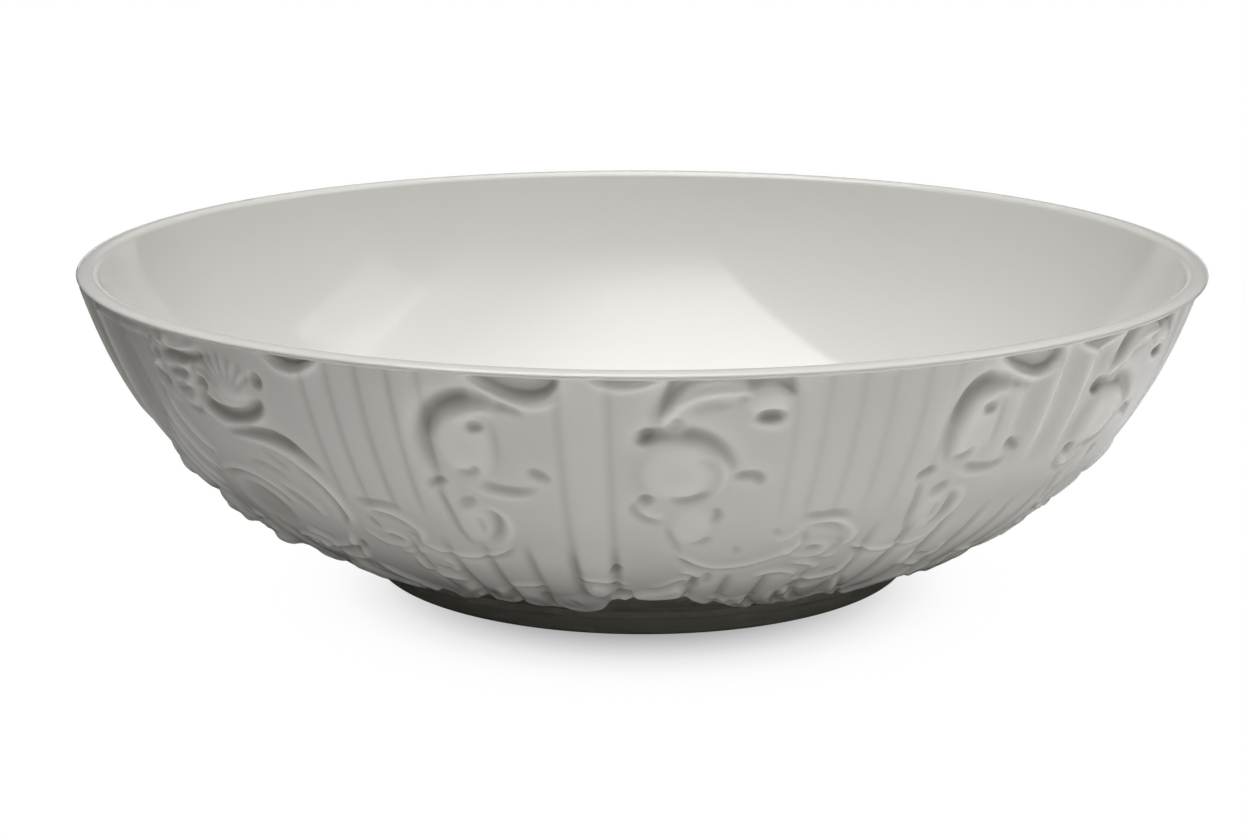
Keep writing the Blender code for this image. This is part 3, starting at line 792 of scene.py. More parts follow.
def glaze_colour_group():
    """Glaze over white clay: thin and lighter on crests, pooled greyer and darkened by painted shade in
    hollows, with a slight drift.
    """
    group, fresh = node_group(
        "glaze_colour",
        (
            ("Coordinates", "NodeSocketVector", None),
            ("Hollow", "NodeSocketFloat", 0.0),
            ("Thin Glaze", "NodeSocketColor", (0.84, 0.835, 0.81, 1.0)),
            ("Pooled Glaze", "NodeSocketColor", (0.6, 0.59, 0.55, 1.0)),
            ("Pooling", "NodeSocketFloat", 0.5),
            ("Drift", "NodeSocketFloat", 0.03),
        ),
        (("Color", "NodeSocketColor"), ("Roughness Shift", "NodeSocketFloat")),
    )
    if not fresh:
        return group
    source = add_node(group, "NodeGroupInput")
    sink = add_node(group, "NodeGroupOutput")
    cloud = add_node(group, "ShaderNodeTexNoise", {"Scale": 22.0, "Detail": 3.0})
    pooling_and_shade = add_node(group, "ShaderNodeMath", operation="MULTIPLY")
    # Mix from the thin colour towards the pooled colour: glaze pooling plus painted shade in hollows
    pool_and_shade = add_node(group, "ShaderNodeMix", data_type="RGBA")
    drift = add_node(group, "ShaderNodeMapRange", {"To Min": -1.0, "To Max": 1.0})
    amount = add_node(group, "ShaderNodeMath", {2: 1.0}, operation="MULTIPLY_ADD")
    tint = add_node(group, "ShaderNodeVectorMath", operation="SCALE")
    wire(
        group,
        (source, "Coordinates", cloud, "Vector"),
        (source, "Hollow", pooling_and_shade, 0),
        (source, "Pooling", pooling_and_shade, 1),
        (pooling_and_shade, "Value", pool_and_shade, "Factor"),
        (source, "Thin Glaze", pool_and_shade, "A"),
        (source, "Pooled Glaze", pool_and_shade, "B"),
        (cloud, "Fac", drift, "Value"),
        (drift, "Result", amount, 0),
        (source, "Drift", amount, 1),
        (pool_and_shade, "Result", tint, 0),
        (amount, "Value", tint, "Scale"),
        (tint, "Vector", sink, "Color"),
        (drift, "Result", sink, "Roughness Shift"),
    )
    return group


def glaze_wave_group():
    """The faint waviness of a fired glaze, with a finer orange-peel on top."""
    group, fresh = node_group(
        "glaze_wave",
        (
            ("Coordinates", "NodeSocketVector", None),
            ("Wave Scale", "NodeSocketFloat", 60.0),
            ("Peel Scale", "NodeSocketFloat", 900.0),
            ("Peel Share", "NodeSocketFloat", 0.15),
        ),
        (("Height", "NodeSocketFloat"),),
    )
    if not fresh:
        return group
    source = add_node(group, "NodeGroupInput")
    sink = add_node(group, "NodeGroupOutput")
    wave = add_node(group, "ShaderNodeTexNoise", {"Detail": 2.0})
    peel = add_node(group, "ShaderNodeTexNoise", {"Detail": 1.0})
    blend = add_node(group, "ShaderNodeMix")
    wire(
        group,
        (source, "Coordinates", wave, "Vector"),
        (source, "Wave Scale", wave, "Scale"),
        (source, "Coordinates", peel, "Vector"),
        (source, "Peel Scale", peel, "Scale"),
        (source, "Peel Share", blend, "Factor"),
        (wave, "Fac", blend, "A"),
        (peel, "Fac", blend, "B"),
        (blend, "Result", sink, "Height"),
    )
    return group


def glazed_porcelain(name, thin="glaze", pooling_and_shade=0.5, bare_below=None):
    """Glossy glaze whose thin colour is a setting; below the given height the clay is wiped bare."""
    if name in bpy.data.materials:
        return bpy.data.materials[name]
    colours = bpy.context.scene.bowl_colours
    material = bpy.data.materials.new(name)
    material.use_nodes = True
    tree = material.node_tree
    shader = tree.nodes["Principled BSDF"]
    shader.inputs["IOR"].default_value = GLAZE_IOR
    place = add_node(tree, "ShaderNodeTexCoord")
    hollow = add_node(tree, "ShaderNodeAttribute", attribute_name="hollow")
    colour = add_node(tree, "ShaderNodeGroup", node_tree=glaze_colour_group())
    colour.inputs["Thin Glaze"].default_value = (*getattr(colours, thin), 1.0)
    # Dark colour for hollows: pooled glaze plus painted shade
    colour.inputs["Pooled Glaze"].default_value = (*colours.pooled_glaze_and_shade, 1.0)
    colour.inputs["Pooling"].default_value = pooling_and_shade
    wave = add_node(tree, "ShaderNodeGroup", node_tree=glaze_wave_group())
    bump = add_node(tree, "ShaderNodeBump", {"Strength": 1.0, "Distance": WAVE_DEPTH})
    gloss = {1: ROUGHNESS_DRIFT, 2: colours.gloss_roughness}
    rough = add_node(tree, "ShaderNodeMath", gloss, operation="MULTIPLY_ADD")
    wire(
        tree,
        (place, "Object", colour, "Coordinates"),
        (hollow, "Fac", colour, "Hollow"),
        (place, "Object", wave, "Coordinates"),
        (wave, "Height", bump, "Height"),
        (bump, "Normal", shader, "Normal"),
        (colour, "Roughness Shift", rough, 0),
    )
    if bare_below is None:
        wire(tree, (colour, "Color", shader, "Base Color"), (rough, "Value", shader, "Roughness"))
        return material
    split = add_node(tree, "ShaderNodeSeparateXYZ")
    edge = add_node(tree, "ShaderNodeMapRange", {"From Min": bare_below * 0.6, "From Max": bare_below})
    bare = add_node(tree, "ShaderNodeMix", data_type="RGBA")
    bare.inputs["A"].default_value = (*colours.bare_clay, 1.0)
    dull = add_node(tree, "ShaderNodeMix", {"A": BARE_ROUGHNESS})
    wire(
        tree,
        (place, "Object", split, "Vector"),
        (split, "Z", edge, "Value"),
        (edge, "Result", bare, "Factor"),
        (colour, "Color", bare, "B"),
        (edge, "Result", dull, "Factor"),
        (rough, "Value", dull, "B"),
        (bare, "Result", shader, "Base Color"),
        (dull, "Result", shader, "Roughness"),
    )
    return material


# ---------------------------------------------------------------- turned pieces

# The smooth inside: how far it lies behind the wall's curve at the lip and at the foot, and where it runs
INNER_LIFT_TOP = -3.9
INNER_LIFT_FOOT = -5.2
INNER_TOP = 97.4
INNER_FOOT = 20.0
INNER_STEPS = 60
# The body's outside behind the relief panels
WALL_BACK = -3.0
WALL_BACK_TOP = -3.2
TURN_STEPS = 360
FOOT_TURN_STEPS = 300
CURVE_FINENESS = 10


def deselect():
    """Nothing selected, in object mode."""
    if bpy.context.mode != "OBJECT":
        bpy.ops.object.mode_set(mode="OBJECT")
    bpy.ops.object.select_all(action="DESELECT")


def finish_piece(piece, name, material, slot, *nodes):
    """Names a finished piece, gives it its material and ties it to the frame."""
    piece.name = name
    piece.data.name = name
    piece.data.materials.clear()
    piece.data.materials.append(material)
    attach(piece, "root")
    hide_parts(*nodes)


def turned_piece(knots, closed, steps, fine):
    """Spins a profile of Bezier knots round the axis; a knot is a point and its handles before and after."""
    deselect()
    bpy.ops.curve.primitive_bezier_curve_add(location=(0.0, 0.0, 0.0))
    profile = bpy.context.object
    spline = profile.data.splines[0]
    spline.bezier_points.add(len(knots) - 2)
    for knot, (point, before, after) in zip(spline.bezier_points, knots):
        knot.handle_left_type = knot.handle_right_type = "FREE"
        knot.co = (point[0], 0.0, point[1])
        knot.handle_left = (before[0], 0.0, before[1])
        knot.handle_right = (after[0], 0.0, after[1])
    spline.use_cyclic_u = closed
    profile.data.resolution_u = fine
    bpy.ops.object.convert(target="MESH")
    bpy.ops.object.mode_set(mode="EDIT")
    bpy.ops.mesh.select_all(action="SELECT")
    bpy.ops.mesh.remove_doubles(threshold=0.00001)
    bpy.ops.mesh.spin(steps=steps, angle=math.tau, center=(0.0, 0.0, 0.0), axis=(0.0, 0.0, 1.0))
    bpy.ops.mesh.select_all(action="SELECT")
    bpy.ops.mesh.remove_doubles(threshold=0.000005)
    bpy.ops.mesh.normals_make_consistent(inside=False)
    bpy.ops.object.mode_set(mode="OBJECT")
    bpy.ops.object.shade_smooth_by_angle(angle=math.radians(40.0))
    return bpy.context.object


def straight_knots(points):
    """Knots of a profile that is straight between its points."""
    knots = []
    for k, point in enumerate(points):
        before, after = points[max(k - 1, 0)], points[min(k + 1, len(points) - 1)]
        handles = [[point[i] + (other[i] - point[i]) / 3 for i in (0, 1)] for other in (before, after)]
        knots.append((point, *handles))
    return knots


def wall_point(percent, lift):
    """One point of a profile, off the wall's curve."""
    return tuple(map(float, off_wall(percent, lift)))


def inner_point(percent):
    """One point of the smooth inside, at a percentage of the wall."""
    return wall_point(percent, INNER_LIFT_TOP + (INNER_LIFT_FOOT - INNER_LIFT_TOP) * (100 - percent) / 100)


def direction(start, end):
    """Unit step from one point of a profile towards another."""
    step = np.subtract(end, start)
    return step / np.hypot(*step)


class BOWL_OT_body(bpy.types.Operator):
    """Turned body: the smooth inside, the floor, the underside and the wall behind the relief"""

    bl_idname = "bowl.body"
    bl_label = "Body"

    def execute(self, context):
        sizes = context.scene.bowl_sizes
        floor = sizes.floor_height
        under = sizes.underside_height
        # from the middle of the underside out to the wall, and up behind the relief
        points = [(0.0, under + 0.7 * MM), (30.0 * MM, under + 0.5 * MM), (54.0 * MM, under)]
        points.append((60.0 * MM, 5.9 * MM))
        points += [wall_point(share, WALL_BACK) for share in range(10, 97, 6)]
        points.append(wall_point(INNER_TOP - 0.6, WALL_BACK_TOP))
        # down the inside
        fall = (INNER_TOP - INNER_FOOT) / INNER_STEPS
        points += [inner_point(INNER_TOP - k * fall) for k in range(INNER_STEPS + 1)]
        # the last stretch runs level into the floor
        before, last = points[-2:]
        slope = (before[1] - last[1]) / (before[0] - last[0])
        knots = straight_knots(points)
        knots[-1] = (last, knots[-1][1], (last[0] - 16 * MM, last[1] - 16 * MM * slope))
        knots.append(((0.0, floor), (last[0] * 0.62, floor), (0.0, floor)))
        body = turned_piece(knots, False, TURN_STEPS, 2)
        finish_piece(body, "turned_body", glazed_porcelain("porcelain_inside"), "glazed_body", "bowl_body")
        return {"FINISHED"}


class BOWL_OT_lip(bpy.types.Operator):
    """Rolled lip: the round edge that stands proud of the relief"""

    bl_idname = "bowl.lip"
    bl_label = "Lip"

    def execute(self, context):
        seam = inner_point(INNER_TOP)
        lean = direction(inner_point(INNER_TOP - 1.0), seam)
        # the knots after the seam, in millimetres in from the rim and down from the top
        roll = (
            ((2.7, 0.0), (3.9, 0.0), (1.2, 0.0)),
            ((0.0, 0.85), (0.0, 0.35), (0.0, 1.15)),
            ((0.8, 1.5), (0.3, 1.45), (1.2, 1.5)),
            ((3.2, 1.9), (2.9, 1.9), (3.2, 1.9)),
        )
        knots = [(seam, seam, tuple(np.add(seam, lean * 0.6 * MM)))]
        for knot in roll:
            knots.append([(RIM_RADIUS - inward * MM, BOWL_HEIGHT - down * MM) for inward, down in knot])
        lip = turned_piece(knots, True, TURN_STEPS, CURVE_FINENESS)
        finish_piece(lip, "rolled_lip", glazed_porcelain("porcelain_lip"), "glazed_lip", "rim_lip")
        return {"FINISHED"}


class BOWL_OT_foot(bpy.types.Operator):
    """Foot ring: glazed sides, fillets into the wall and the underside, and a wiped resting edge"""

    bl_idname = "bowl.foot"
    bl_label = "Foot Ring"

    def execute(self, context):
        sizes = context.scene.bowl_sizes
        outer = FOOT_RADIUS
        inner = outer - sizes.ring_width
        hidden = outer - 0.6 * MM
        under = inner - 3.0 * MM
        edge = 0.9 * MM
        wall = wall_point(PANEL_FOOT, SKIN)
        tangent = direction(wall, wall_point(PANEL_FOOT + 1, SKIN))
        knots = [
            # the resting edge and the outside
            ((inner + edge, 0.0), (inner + edge * 0.5, 0.0), (inner + 2 * edge, 0.0)),
            ((outer - edge, 0.0), (outer - 2 * edge, 0.0), (outer - edge * 0.45, 0.0)),
            ((outer, edge), (outer, edge * 0.45), (outer, 1.6 * MM)),
            (wall, tuple(np.subtract(wall, tangent * 1.3 * MM)), wall),
            # the part that lies against the body
            ((hidden, 6.6 * MM),) * 3,
            ((under, 5.4 * MM), (under, 5.4 * MM), (under, 5.0 * MM)),
            # the fillet into the underside and the inside of the ring
            ((under, 4.58 * MM), (under, 4.7 * MM), (inner - 1.2 * MM, 4.5 * MM)),
            ((inner, 3.0 * MM), (inner, 3.9 * MM), (inner, 2.2 * MM)),
            ((inner, edge), (inner, edge * 1.4), (inner, edge * 0.45)),
        ]
        foot = turned_piece(knots, True, FOOT_TURN_STEPS, CURVE_FINENESS)
        material = glazed_porcelain("porcelain_foot", "foot_glaze", bare_below=sizes.bare_edge)
        finish_piece(foot, "turned_foot", material, "bare_foot", "foot_ring")
        return {"FINISHED"}


# ---------------------------------------------------------------- relief panels


def place_sheet(sheet, first, last, lift_at):
    """Wraps a flat grid, two units wide and high, onto a stretch of the wall."""
    count = len(sheet.data.vertices)
    flat = np.empty(count * 3)
    sheet.data.vertices.foreach_get("co", flat)
    flat = flat.reshape(-1, 3)
    angle = first + (last - first) * (flat[:, 0] + 1) / 2
    share = PANEL_FOOT + (PANEL_TOP - PANEL_FOOT) * (flat[:, 1] + 1) / 2
    radius, height = off_wall(share, lift_at(angle, share))
    turn = np.radians(angle)
    wrapped = np.stack((radius * np.sin(turn), -radius * np.cos(turn), height), axis=1)
    sheet.data.vertices.foreach_set("co", wrapped.ravel())
    sheet.data.update()
    return angle, share


def clay_cell(angle, share, clay):
    """Row and column of the clay's cell at a place on the wall, whose second half repeats the first."""
    half = np.where(angle > HALF_START + HALF_TURN + 0.01, HALF_TURN, 0.0)
    column = np.rint((angle - half - clay.angle[0]) / COLUMN_STEP).astype(int)
    row = np.rint((share - PANEL_FOOT) / (PANEL_TOP - PANEL_FOOT) * ROWS).astype(int)
    return row, column


def relief_panel(name, first, last, turn, nodes):
    """One panel of the wall: a fine face wrapped from the clay, a plain back, and sides that join them."""
    clay, hollow = modelled_clay(bpy.context.scene.bowl_sizes.relief_boldness)
    columns = round((last - first) / COLUMN_STEP)
    deselect()
    bpy.ops.mesh.primitive_grid_add(x_subdivisions=columns, y_subdivisions=ROWS, size=2.0)
    face = bpy.context.object

    def face_lift(angle, share):
        return clay.lift[clay_cell(angle, share, clay)]

    angle, share = place_sheet(face, first, last, face_lift)
    # Per-point amount of pooled glaze and painted shade that darkens the relief's colour
    depth = face.data.attributes.new("hollow", "FLOAT", "POINT")
    depth.data.foreach_set("value", hollow[clay_cell(angle, share, clay)].astype(np.float32))
    deselect()
    bpy.ops.mesh.primitive_grid_add(
        x_subdivisions=columns // BACK_COLUMN, y_subdivisions=ROWS // BACK_ROW, size=1.996
    )
    back = bpy.context.object
    place_sheet(back, first, last, lambda angle, share: PANEL_BACK)
    bpy.ops.object.mode_set(mode="EDIT")
    bpy.ops.mesh.select_all(action="SELECT")
    bpy.ops.mesh.flip_normals()
    deselect()
    back.select_set(True)
    face.select_set(True)
    bpy.context.view_layer.objects.active = face
    bpy.ops.object.join()
    bpy.ops.object.mode_set(mode="EDIT")
    bpy.ops.mesh.select_mode(type="EDGE")
    bpy.ops.mesh.select_all(action="DESELECT")
    bpy.ops.mesh.select_non_manifold(
        extend=False,
        use_wire=False,
        use_boundary=True,
        use_multi_face=False,
        use_non_contiguous=False,
        use_verts=False,
    )
    bpy.ops.mesh.bridge_edge_loops()
    bpy.ops.object.mode_set(mode="OBJECT")
    bpy.ops.object.shade_smooth_by_angle(angle=math.radians(75.0))
    if turn:
        bpy.ops.transform.rotate(
            value=math.radians(turn), orient_axis="Z", orient_type="GLOBAL", center_override=(0.0, 0.0, 0.0)
        )
        bpy.ops.object.transform_apply(location=True, rotation=True, scale=True)
    # The relief's colour is fully darkened by pooled glaze and painted shade in its hollows, lighter on
    # crests
    material = glazed_porcelain("porcelain_relief", "crest_glaze", pooling_and_shade=1.0)
    finish_piece(bpy.context.object, name, material, "glazed_relief", *nodes)


PANEL_EDGES = {
    "plain_panel": ((-71.0, -52.5),),
    "leaf_panel": ((-52.5, -32.0),),
    "c_scroll_panel": ((-32.0, -6.0), (14.0, 41.0)),
    "s_scroll_panel": ((-6.0, 14.0), (41.0, 64.0)),
    "fluted_panel": ((64.0, 109.0),),
}
# How many ornaments of each kind lie on a panel
ORNAMENTS = {
    "plain_panel": {"flower": 1},
    "leaf_panel": {"acanthus_leaf": 2, "garland_scroll": 1},
    "c_scroll_panel": {"c_scroll": 1, "garland_scroll": 1, "foot_leaf": 1},
    "s_scroll_panel": {"s_scroll": 1, "garland_scroll": 1, "foot_leaf": 1},
    "fluted_panel": {},
}


def panel_nodes():
    """The CAD nodes that each panel stands for: its own and its ornaments', counted round the bowl."""
    counts = {}

    def numbered(kind):
        counts[kind] = counts.get(kind, 0) + 1
        return f"{kind}_{counts[kind]}"

    order = sorted(
        (edges[0], kind, place) for kind, panels in PANEL_EDGES.items() for place, edges in enumerate(panels)
    )
    found = {}
    for half in (0, 1):
        for _, kind, place in order:
            nodes = [numbered(kind)]
            for ornament, number in ORNAMENTS[kind].items():
                nodes += [numbered(ornament) for _ in range(number)]
            found[kind, place, half] = nodes
    return found


def press_panels(kind):
    """Presses every panel of one kind round the bowl."""
    nodes = panel_nodes()
    for half in (0, 1):
        for place, (first, last) in enumerate(PANEL_EDGES[kind]):
            names = nodes[kind, place, half]
            relief_panel(f"pressed_{names[0]}", first, last, HALF_TURN * half, names)


class BOWL_OT_plain_panels(bpy.types.Operator):
    """Plain panels: a smooth hollow field with a beaded edge"""

    bl_idname = "bowl.plain_panels"
    bl_label = "Plain Panels"

    def execute(self, context):
        press_panels("plain_panel")
        return {"FINISHED"}


class BOWL_OT_leaf_panels(bpy.types.Operator):
    """Leaf panels: a shell of leaves under the lip and a leafy garland below"""

    bl_idname = "bowl.leaf_panels"
    bl_label = "Leaf Panels"

    def execute(self, context):
        press_panels("leaf_panel")
        return {"FINISHED"}


class BOWL_OT_c_scroll_panels(bpy.types.Operator):
    """C-scroll panels: a leafy C-scroll, its volute and a garland cup"""

    bl_idname = "bowl.c_scroll_panels"
    bl_label = "C-Scroll Panels"

    def execute(self, context):
        press_panels("c_scroll_panel")
        return {"FINISHED"}


class BOWL_OT_s_scroll_panels(bpy.types.Operator):
    """S-scroll panels: an arch with a bulb, a round lobe, a hook and a deep cup"""

    bl_idname = "bowl.s_scroll_panels"
    bl_label = "S-Scroll Panels"

    def execute(self, context):
        press_panels("s_scroll_panel")
        return {"FINISHED"}


class BOWL_OT_fluted_panels(bpy.types.Operator):
    """Fluted panels: upright ribs from the lip down to rows of round leaves"""

    bl_idname = "bowl.fluted_panels"
    bl_label = "Fluted Panels"

    def execute(self, context):
        press_panels("fluted_panel")
        return {"FINISHED"}


# ---------------------------------------------------------------- stage

# Painted contact shadow: how bright the floor looks, by the distance from the middle of the contact shadow in
# metres
SHADOW_TONES = (
    (0.025, 0.25), (0.0425, 0.4), (0.052, 0.66), (0.059, 0.84), (0.068, 0.965), (0.077, 0.995), (0.088, 1.0),
)
# The light that the floor throws back, painted into its colour: little under the bowl as painted shade, full
# round the bright place as a painted pool of light, less far from it
UNDER_BOWL = (0.07, 0.105)
UNDER_BOWL_SHARE = 0.2
BRIGHT_PLACE = (0.22, -0.26, 0.0)
BRIGHT_REACH = (0.25, 0.55)
FAR_SHARE = 0.15
# Corners of the softbox from above, by whether they lie to the right and whether they lie behind
SOFTBOX_CORNERS = {
    (False, False): (-0.47, -1.75),
    (True, False): (1.3, -1.75),
    (True, True): (1.3, 0.75),
    (False, True): (-0.68, 0.75),
}
# Each light's side, place, width and height in metres
LIGHTS = (
    ("left", (-1.6, -0.3, 0.9), 1.2, 1.2),
    ("right", (1.1, 0.2, 1.5), 1.2, 1.0),
    ("back", (0.1, 1.5, 0.1), 1.6, 0.2),
    ("front", (0.8, -1.8, 0.8), 1.4, 0.8),
)
CAMERA_PLACE = (0.0, -0.5673, 0.1731)
CAMERA_TILT = 76.03
CAMERA_TURN = 0.446
CAMERA_LENS = 72.5


def empty_material(name):
    """A material with nothing but its output."""
    material = bpy.data.materials.new(name)
    material.use_nodes = True
    material.node_tree.nodes.clear()
    return material, add_node(material.node_tree, "ShaderNodeOutputMaterial")


def floor_material():
    """Pale floor: white to the eye with a painted soft contact shadow, and uneven in the light it throws
    back.
    """
    look = bpy.context.scene.bowl_stage
    material, output = empty_material("pale_floor")
    tree = material.node_tree
    path = add_node(tree, "ShaderNodeLightPath")
    place = add_node(tree, "ShaderNodeTexCoord")
    reach = add_node(tree, "ShaderNodeVectorMath", {1: (0.0, -look.shadow_shift, 0.0)}, operation="DISTANCE")
    tone = grey_ramp(tree, SHADOW_TONES)
    spread = add_node(tree, "ShaderNodeVectorMath", operation="LENGTH")
    bounce = smooth_range(tree, *UNDER_BOWL, look.floor_bounce * UNDER_BOWL_SHARE, look.floor_bounce)
    ahead = add_node(tree, "ShaderNodeVectorMath", {1: BRIGHT_PLACE}, operation="DISTANCE")
    fade = smooth_range(tree, *BRIGHT_REACH, 1.0, FAR_SHARE)
    both = add_node(tree, "ShaderNodeMath", operation="MULTIPLY")
    # What the camera sees: a glowing white floor with the painted contact shadow
    seen = add_node(tree, "ShaderNodeEmission")
    # What the floor throws back: its colour carries painted shade under the bowl and a painted pool of light
    # round the bright place
    thrown = add_node(tree, "ShaderNodeBsdfDiffuse")
    mix = add_node(tree, "ShaderNodeMixShader")
    wire(
        tree,
        (place, "Object", reach, 0),
        (reach, "Value", tone, "Fac"),
        (tone, "Color", seen, "Color"),
        (place, "Object", spread, 0),
        (spread, "Value", bounce, "Value"),
        (place, "Object", ahead, 0),
        (ahead, "Value", fade, "Value"),
        (bounce, "Result", both, 0),
        (fade, "Result", both, 1),
        (both, "Value", thrown, "Color"),
        (path, "Is Camera Ray", mix, "Fac"),
        (thrown, "BSDF", mix, 1),
        (seen, "Emission", mix, 2),
        (mix, "Shader", output, "Surface"),
    )
    return material


def studio_world():
    """White room to the eye, and soft light that is weaker near the floor."""
    look = bpy.context.scene.bowl_stage
    world = bpy.data.worlds.new("studio_room")
    bpy.context.scene.world = world
    world.use_nodes = True
    tree = world.node_tree
    tree.nodes.clear()
    low, middle, top = look.room_low, look.room_middle, look.room_top
    output = add_node(tree, "ShaderNodeOutputWorld")
    place = add_node(tree, "ShaderNodeTexCoord")
    split = add_node(tree, "ShaderNodeSeparateXYZ")
    ramp = grey_ramp(tree, ((0.0, low), (0.12, low), (0.5, middle), (0.75, top), (1.0, top)))
    light = add_node(tree, "ShaderNodeBackground")
    white = add_node(tree, "ShaderNodeBackground", {"Color": (1.0, 1.0, 1.0, 1.0)})
    path = add_node(tree, "ShaderNodeLightPath")
    mix = add_node(tree, "ShaderNodeMixShader")
    wire(
        tree,
        (place, "Generated", split, "Vector"),
        (split, "Z", ramp, "Fac"),
        (ramp, "Color", light, "Color"),
        (path, "Is Camera Ray", mix, "Fac"),
        (light, "Background", mix, 1),
        (white, "Background", mix, 2),
        (mix, "Shader", output, "Surface"),
    )


def area_light(name, place, target, width, height, power):
    """A rectangular soft light that looks at a point."""
    data = bpy.data.lights.new(name, "AREA")
    data.shape = "RECTANGLE"
    data.size = width
    data.size_y = height
    data.energy = power
    light = bpy.data.objects.new(name, data)
    bpy.context.scene.collection.objects.link(light)
    light.location = place
    light.rotation_euler = (Vector(target) - Vector(place)).to_track_quat("-Z", "Y").to_euler()


def softbox():
    """Overhead panel that the camera doesn't see, fading to its right and towards the front."""
    look = bpy.context.scene.bowl_stage
    deselect()
    bpy.ops.mesh.primitive_plane_add(size=1.0, location=(0.0, 0.0, 0.0))
    panel = bpy.context.object
    panel.name = "overhead_softbox"
    for vertex in panel.data.vertices:
        x, y = SOFTBOX_CORNERS[vertex.co.x > 0, vertex.co.y > 0]
        vertex.co = (x, y, look.softbox_height)
    material, output = empty_material("softbox_cloth")
    tree = material.node_tree
    emission = add_node(tree, "ShaderNodeEmission")
    place = add_node(tree, "ShaderNodeTexCoord")
    split = add_node(tree, "ShaderNodeSeparateXYZ")
    across = smooth_range(tree, -0.15, 0.75, 1.0, 0.24)
    along = smooth_range(tree, -1.5, -0.45, 0.03, 1.0)
    glow = add_node(tree, "ShaderNodeMath", operation="MULTIPLY")
    strength = add_node(tree, "ShaderNodeMath", {1: look.softbox_strength}, operation="MULTIPLY")
    wire(
        tree,
        (place, "Object", split, "Vector"),
        (split, "X", across, "Value"),
        (split, "Y", along, "Value"),
        (across, "Result", glow, 0),
        (along, "Result", glow, 1),
        (glow, "Value", strength, 0),
        (strength, "Value", emission, "Strength"),
        (emission, "Emission", output, "Surface"),
    )
    panel.data.materials.append(material)
    panel.visible_camera = False
    return panel


class BOWL_OT_stage(bpy.types.Operator):
    """Pale floor, studio light and camera"""

    bl_idname = "bowl.stage"
    bl_label = "Stage"

    def execute(self, context):
        look = context.scene.bowl_stage
        deselect()
        bpy.ops.mesh.primitive_plane_add(size=look.floor_size, location=(0.0, 0.0, 0.0))
        floor = context.object
        floor.name = "pale_floor"
        floor.data.materials.append(floor_material())
        softbox()
        studio_world()
        middle = (0.0, 0.0, BOWL_HEIGHT / 2)
        for side, place, width, height in LIGHTS:
            area_light(f"{side}_light", place, middle, width, height, getattr(look, f"{side}_power"))
        camera_data = bpy.data.cameras.new("camera")
        camera_data.lens = CAMERA_LENS
        camera_data.sensor_width = 36.0
        camera_data.clip_start = 0.01
        camera = bpy.data.objects.new("camera", camera_data)
        context.scene.collection.objects.link(camera)
        camera.location = CAMERA_PLACE
        camera.rotation_euler = (math.radians(CAMERA_TILT), 0.0, math.radians(CAMERA_TURN))
        context.scene.camera = camera
        context.scene.view_settings.view_transform = "Standard"
        return {"FINISHED"}


# ---------------------------------------------------------------- settings and panel


def length_setting(name, description, default):
    """A setting that is a length."""
    return bpy.props.FloatProperty(name=name, description=description, default=default, unit="LENGTH")


def strength_setting(name, description, default, unit="NONE"):
    """A setting of how bright or strong something is."""
    return bpy.props.FloatProperty(name=name, description=description, default=default, min=0.0, unit=unit)


def colour_setting(name, description, default):
    """A setting that is a colour."""
    return bpy.props.FloatVectorProperty(name=name, description=description, default=default, subtype="COLOR")


class BowlSizes(bpy.types.PropertyGroup):
    floor_height: length_setting("Floor Height", "Height of the smooth floor inside", 9.8 * MM)
    underside_height: length_setting("Underside Height", "Height of the recess under it", 4.6 * MM)
    ring_width: length_setting("Ring Width", "Width of the foot ring", 6.0 * MM)
    bare_edge: length_setting("Bare Edge", "Height up to which the foot ring is wiped bare", 0.7 * MM)
    relief_boldness: strength_setting("Relief Boldness", "How strongly the relief stands off the wall", 1.17)


class BowlColours(bpy.types.PropertyGroup):
    glaze: colour_setting("Glaze", "Glaze inside and on the lip", (0.80, 0.786, 0.75))
    crest_glaze: colour_setting("Crest Glaze", "Thin glaze on raised lines", (0.92, 0.90, 0.855))
    # Pooled glaze and painted shade: the dark colour that hollows and the recess above the foot are mixed
    # towards
    pooled_glaze_and_shade: colour_setting("Pooled Glaze", "Glaze where it gathers in hollows", (0.36, 0.34, 0.295))
    foot_glaze: colour_setting("Foot Glaze", "Glaze that has run down to the foot", (0.8, 0.765, 0.66))
    bare_clay: colour_setting("Bare Clay", "Wiped resting edge of the foot", (0.78, 0.76, 0.71))
    gloss_roughness: strength_setting("Gloss Roughness", "Roughness of the glaze", 0.09)


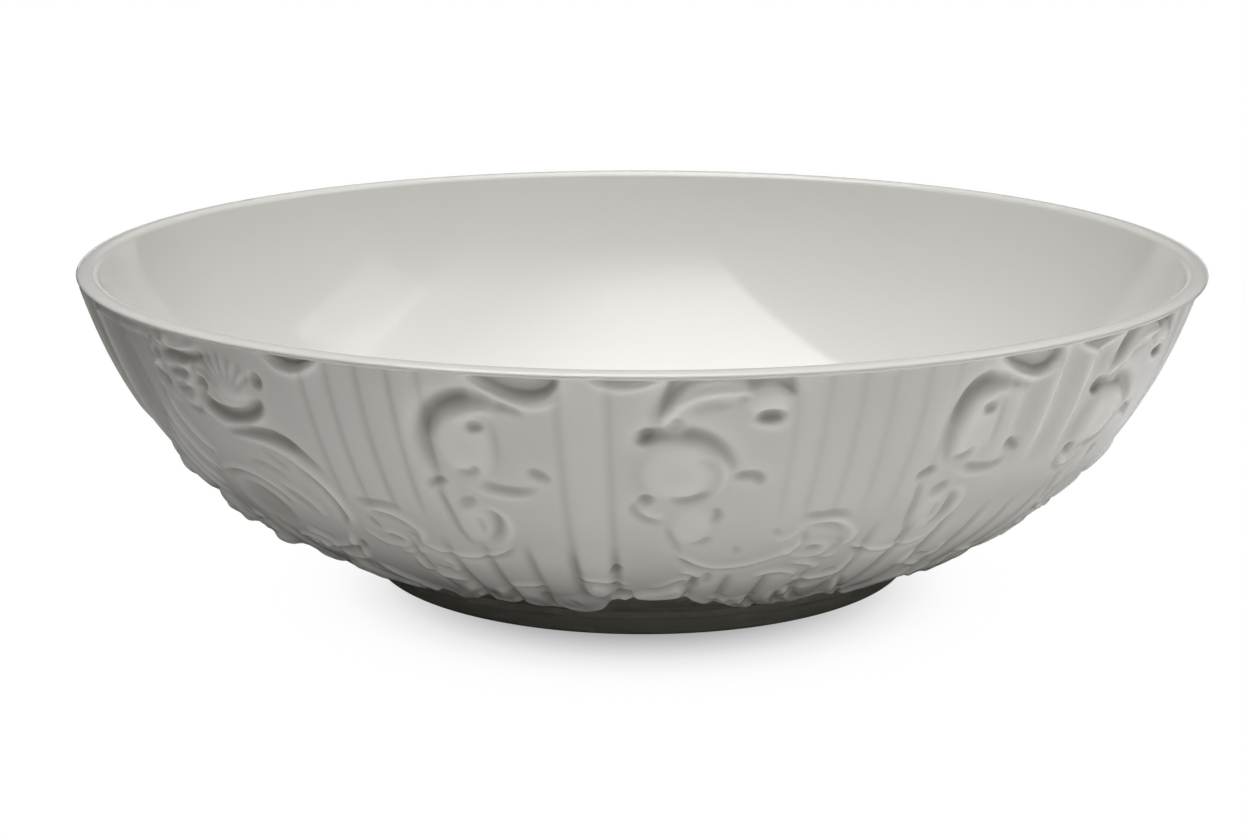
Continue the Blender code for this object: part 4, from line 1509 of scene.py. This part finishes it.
class BowlStage(bpy.types.PropertyGroup):
    floor_size: length_setting("Floor Size", "Side of the floor", 40.0)
    shadow_shift: length_setting("Shadow Shift", "How far the contact shadow falls forward", 0.02)
    floor_bounce: strength_setting("Floor Bounce", "How much light the floor throws back", 0.95)
    room_low: strength_setting("Room Low", "Light near the floor", 0.02)
    room_middle: strength_setting("Room Middle", "Light halfway up", 0.06)
    room_top: strength_setting("Room Top", "Light from above", 0.26)
    softbox_height: length_setting("Softbox Height", "Height of the overhead panel", 1.5)
    softbox_strength: strength_setting("Softbox Strength", "Brightness of the overhead panel", 4.15)
    left_power: strength_setting("Left Power", "Light from the left", 0.1, "POWER")
    right_power: strength_setting("Right Power", "Light from the right", 4.0, "POWER")
    back_power: strength_setting("Back Power", "Low light from behind", 0.6, "POWER")
    front_power: strength_setting("Front Power", "Light from the front", 0.7, "POWER")


class BOWL_PT_panel(bpy.types.Panel):
    """Buttons for the bowl's pieces"""

    bl_label = "Porcelain Serving Bowl"
    bl_idname = "BOWL_PT_panel"
    bl_space_type = "VIEW_3D"
    bl_region_type = "UI"
    bl_category = "Bowl"

    def draw(self, context):
        scene = context.scene
        for settings in (scene.bowl_sizes, scene.bowl_colours, scene.bowl_stage):
            for name in settings.__annotations__:
                self.layout.prop(settings, name)
        for operator in OPERATORS:
            self.layout.operator(operator.bl_idname)


OPERATORS = (
    BOWL_OT_body,
    BOWL_OT_lip,
    BOWL_OT_foot,
    BOWL_OT_plain_panels,
    BOWL_OT_leaf_panels,
    BOWL_OT_c_scroll_panels,
    BOWL_OT_s_scroll_panels,
    BOWL_OT_fluted_panels,
    BOWL_OT_stage,
)
SETTINGS = (BowlSizes, BowlColours, BowlStage)


def register():
    for cls in (*SETTINGS, *OPERATORS, BOWL_PT_panel):
        bpy.utils.register_class(cls)
    bpy.types.Scene.bowl_sizes = bpy.props.PointerProperty(type=BowlSizes)
    bpy.types.Scene.bowl_colours = bpy.props.PointerProperty(type=BowlColours)
    bpy.types.Scene.bowl_stage = bpy.props.PointerProperty(type=BowlStage)


def unregister():
    del bpy.types.Scene.bowl_sizes
    del bpy.types.Scene.bowl_colours
    del bpy.types.Scene.bowl_stage
    for cls in (BOWL_PT_panel, *reversed(OPERATORS), *reversed(SETTINGS)):
        bpy.utils.unregister_class(cls)


def main():
    register()
    bpy.ops.bowl.body()
    bpy.ops.bowl.lip()
    bpy.ops.bowl.foot()
    bpy.ops.bowl.plain_panels()
    bpy.ops.bowl.leaf_panels()
    bpy.ops.bowl.c_scroll_panels()
    bpy.ops.bowl.s_scroll_panels()
    bpy.ops.bowl.fluted_panels()
    bpy.ops.bowl.stage()


if __name__ == "__main__":
    main()
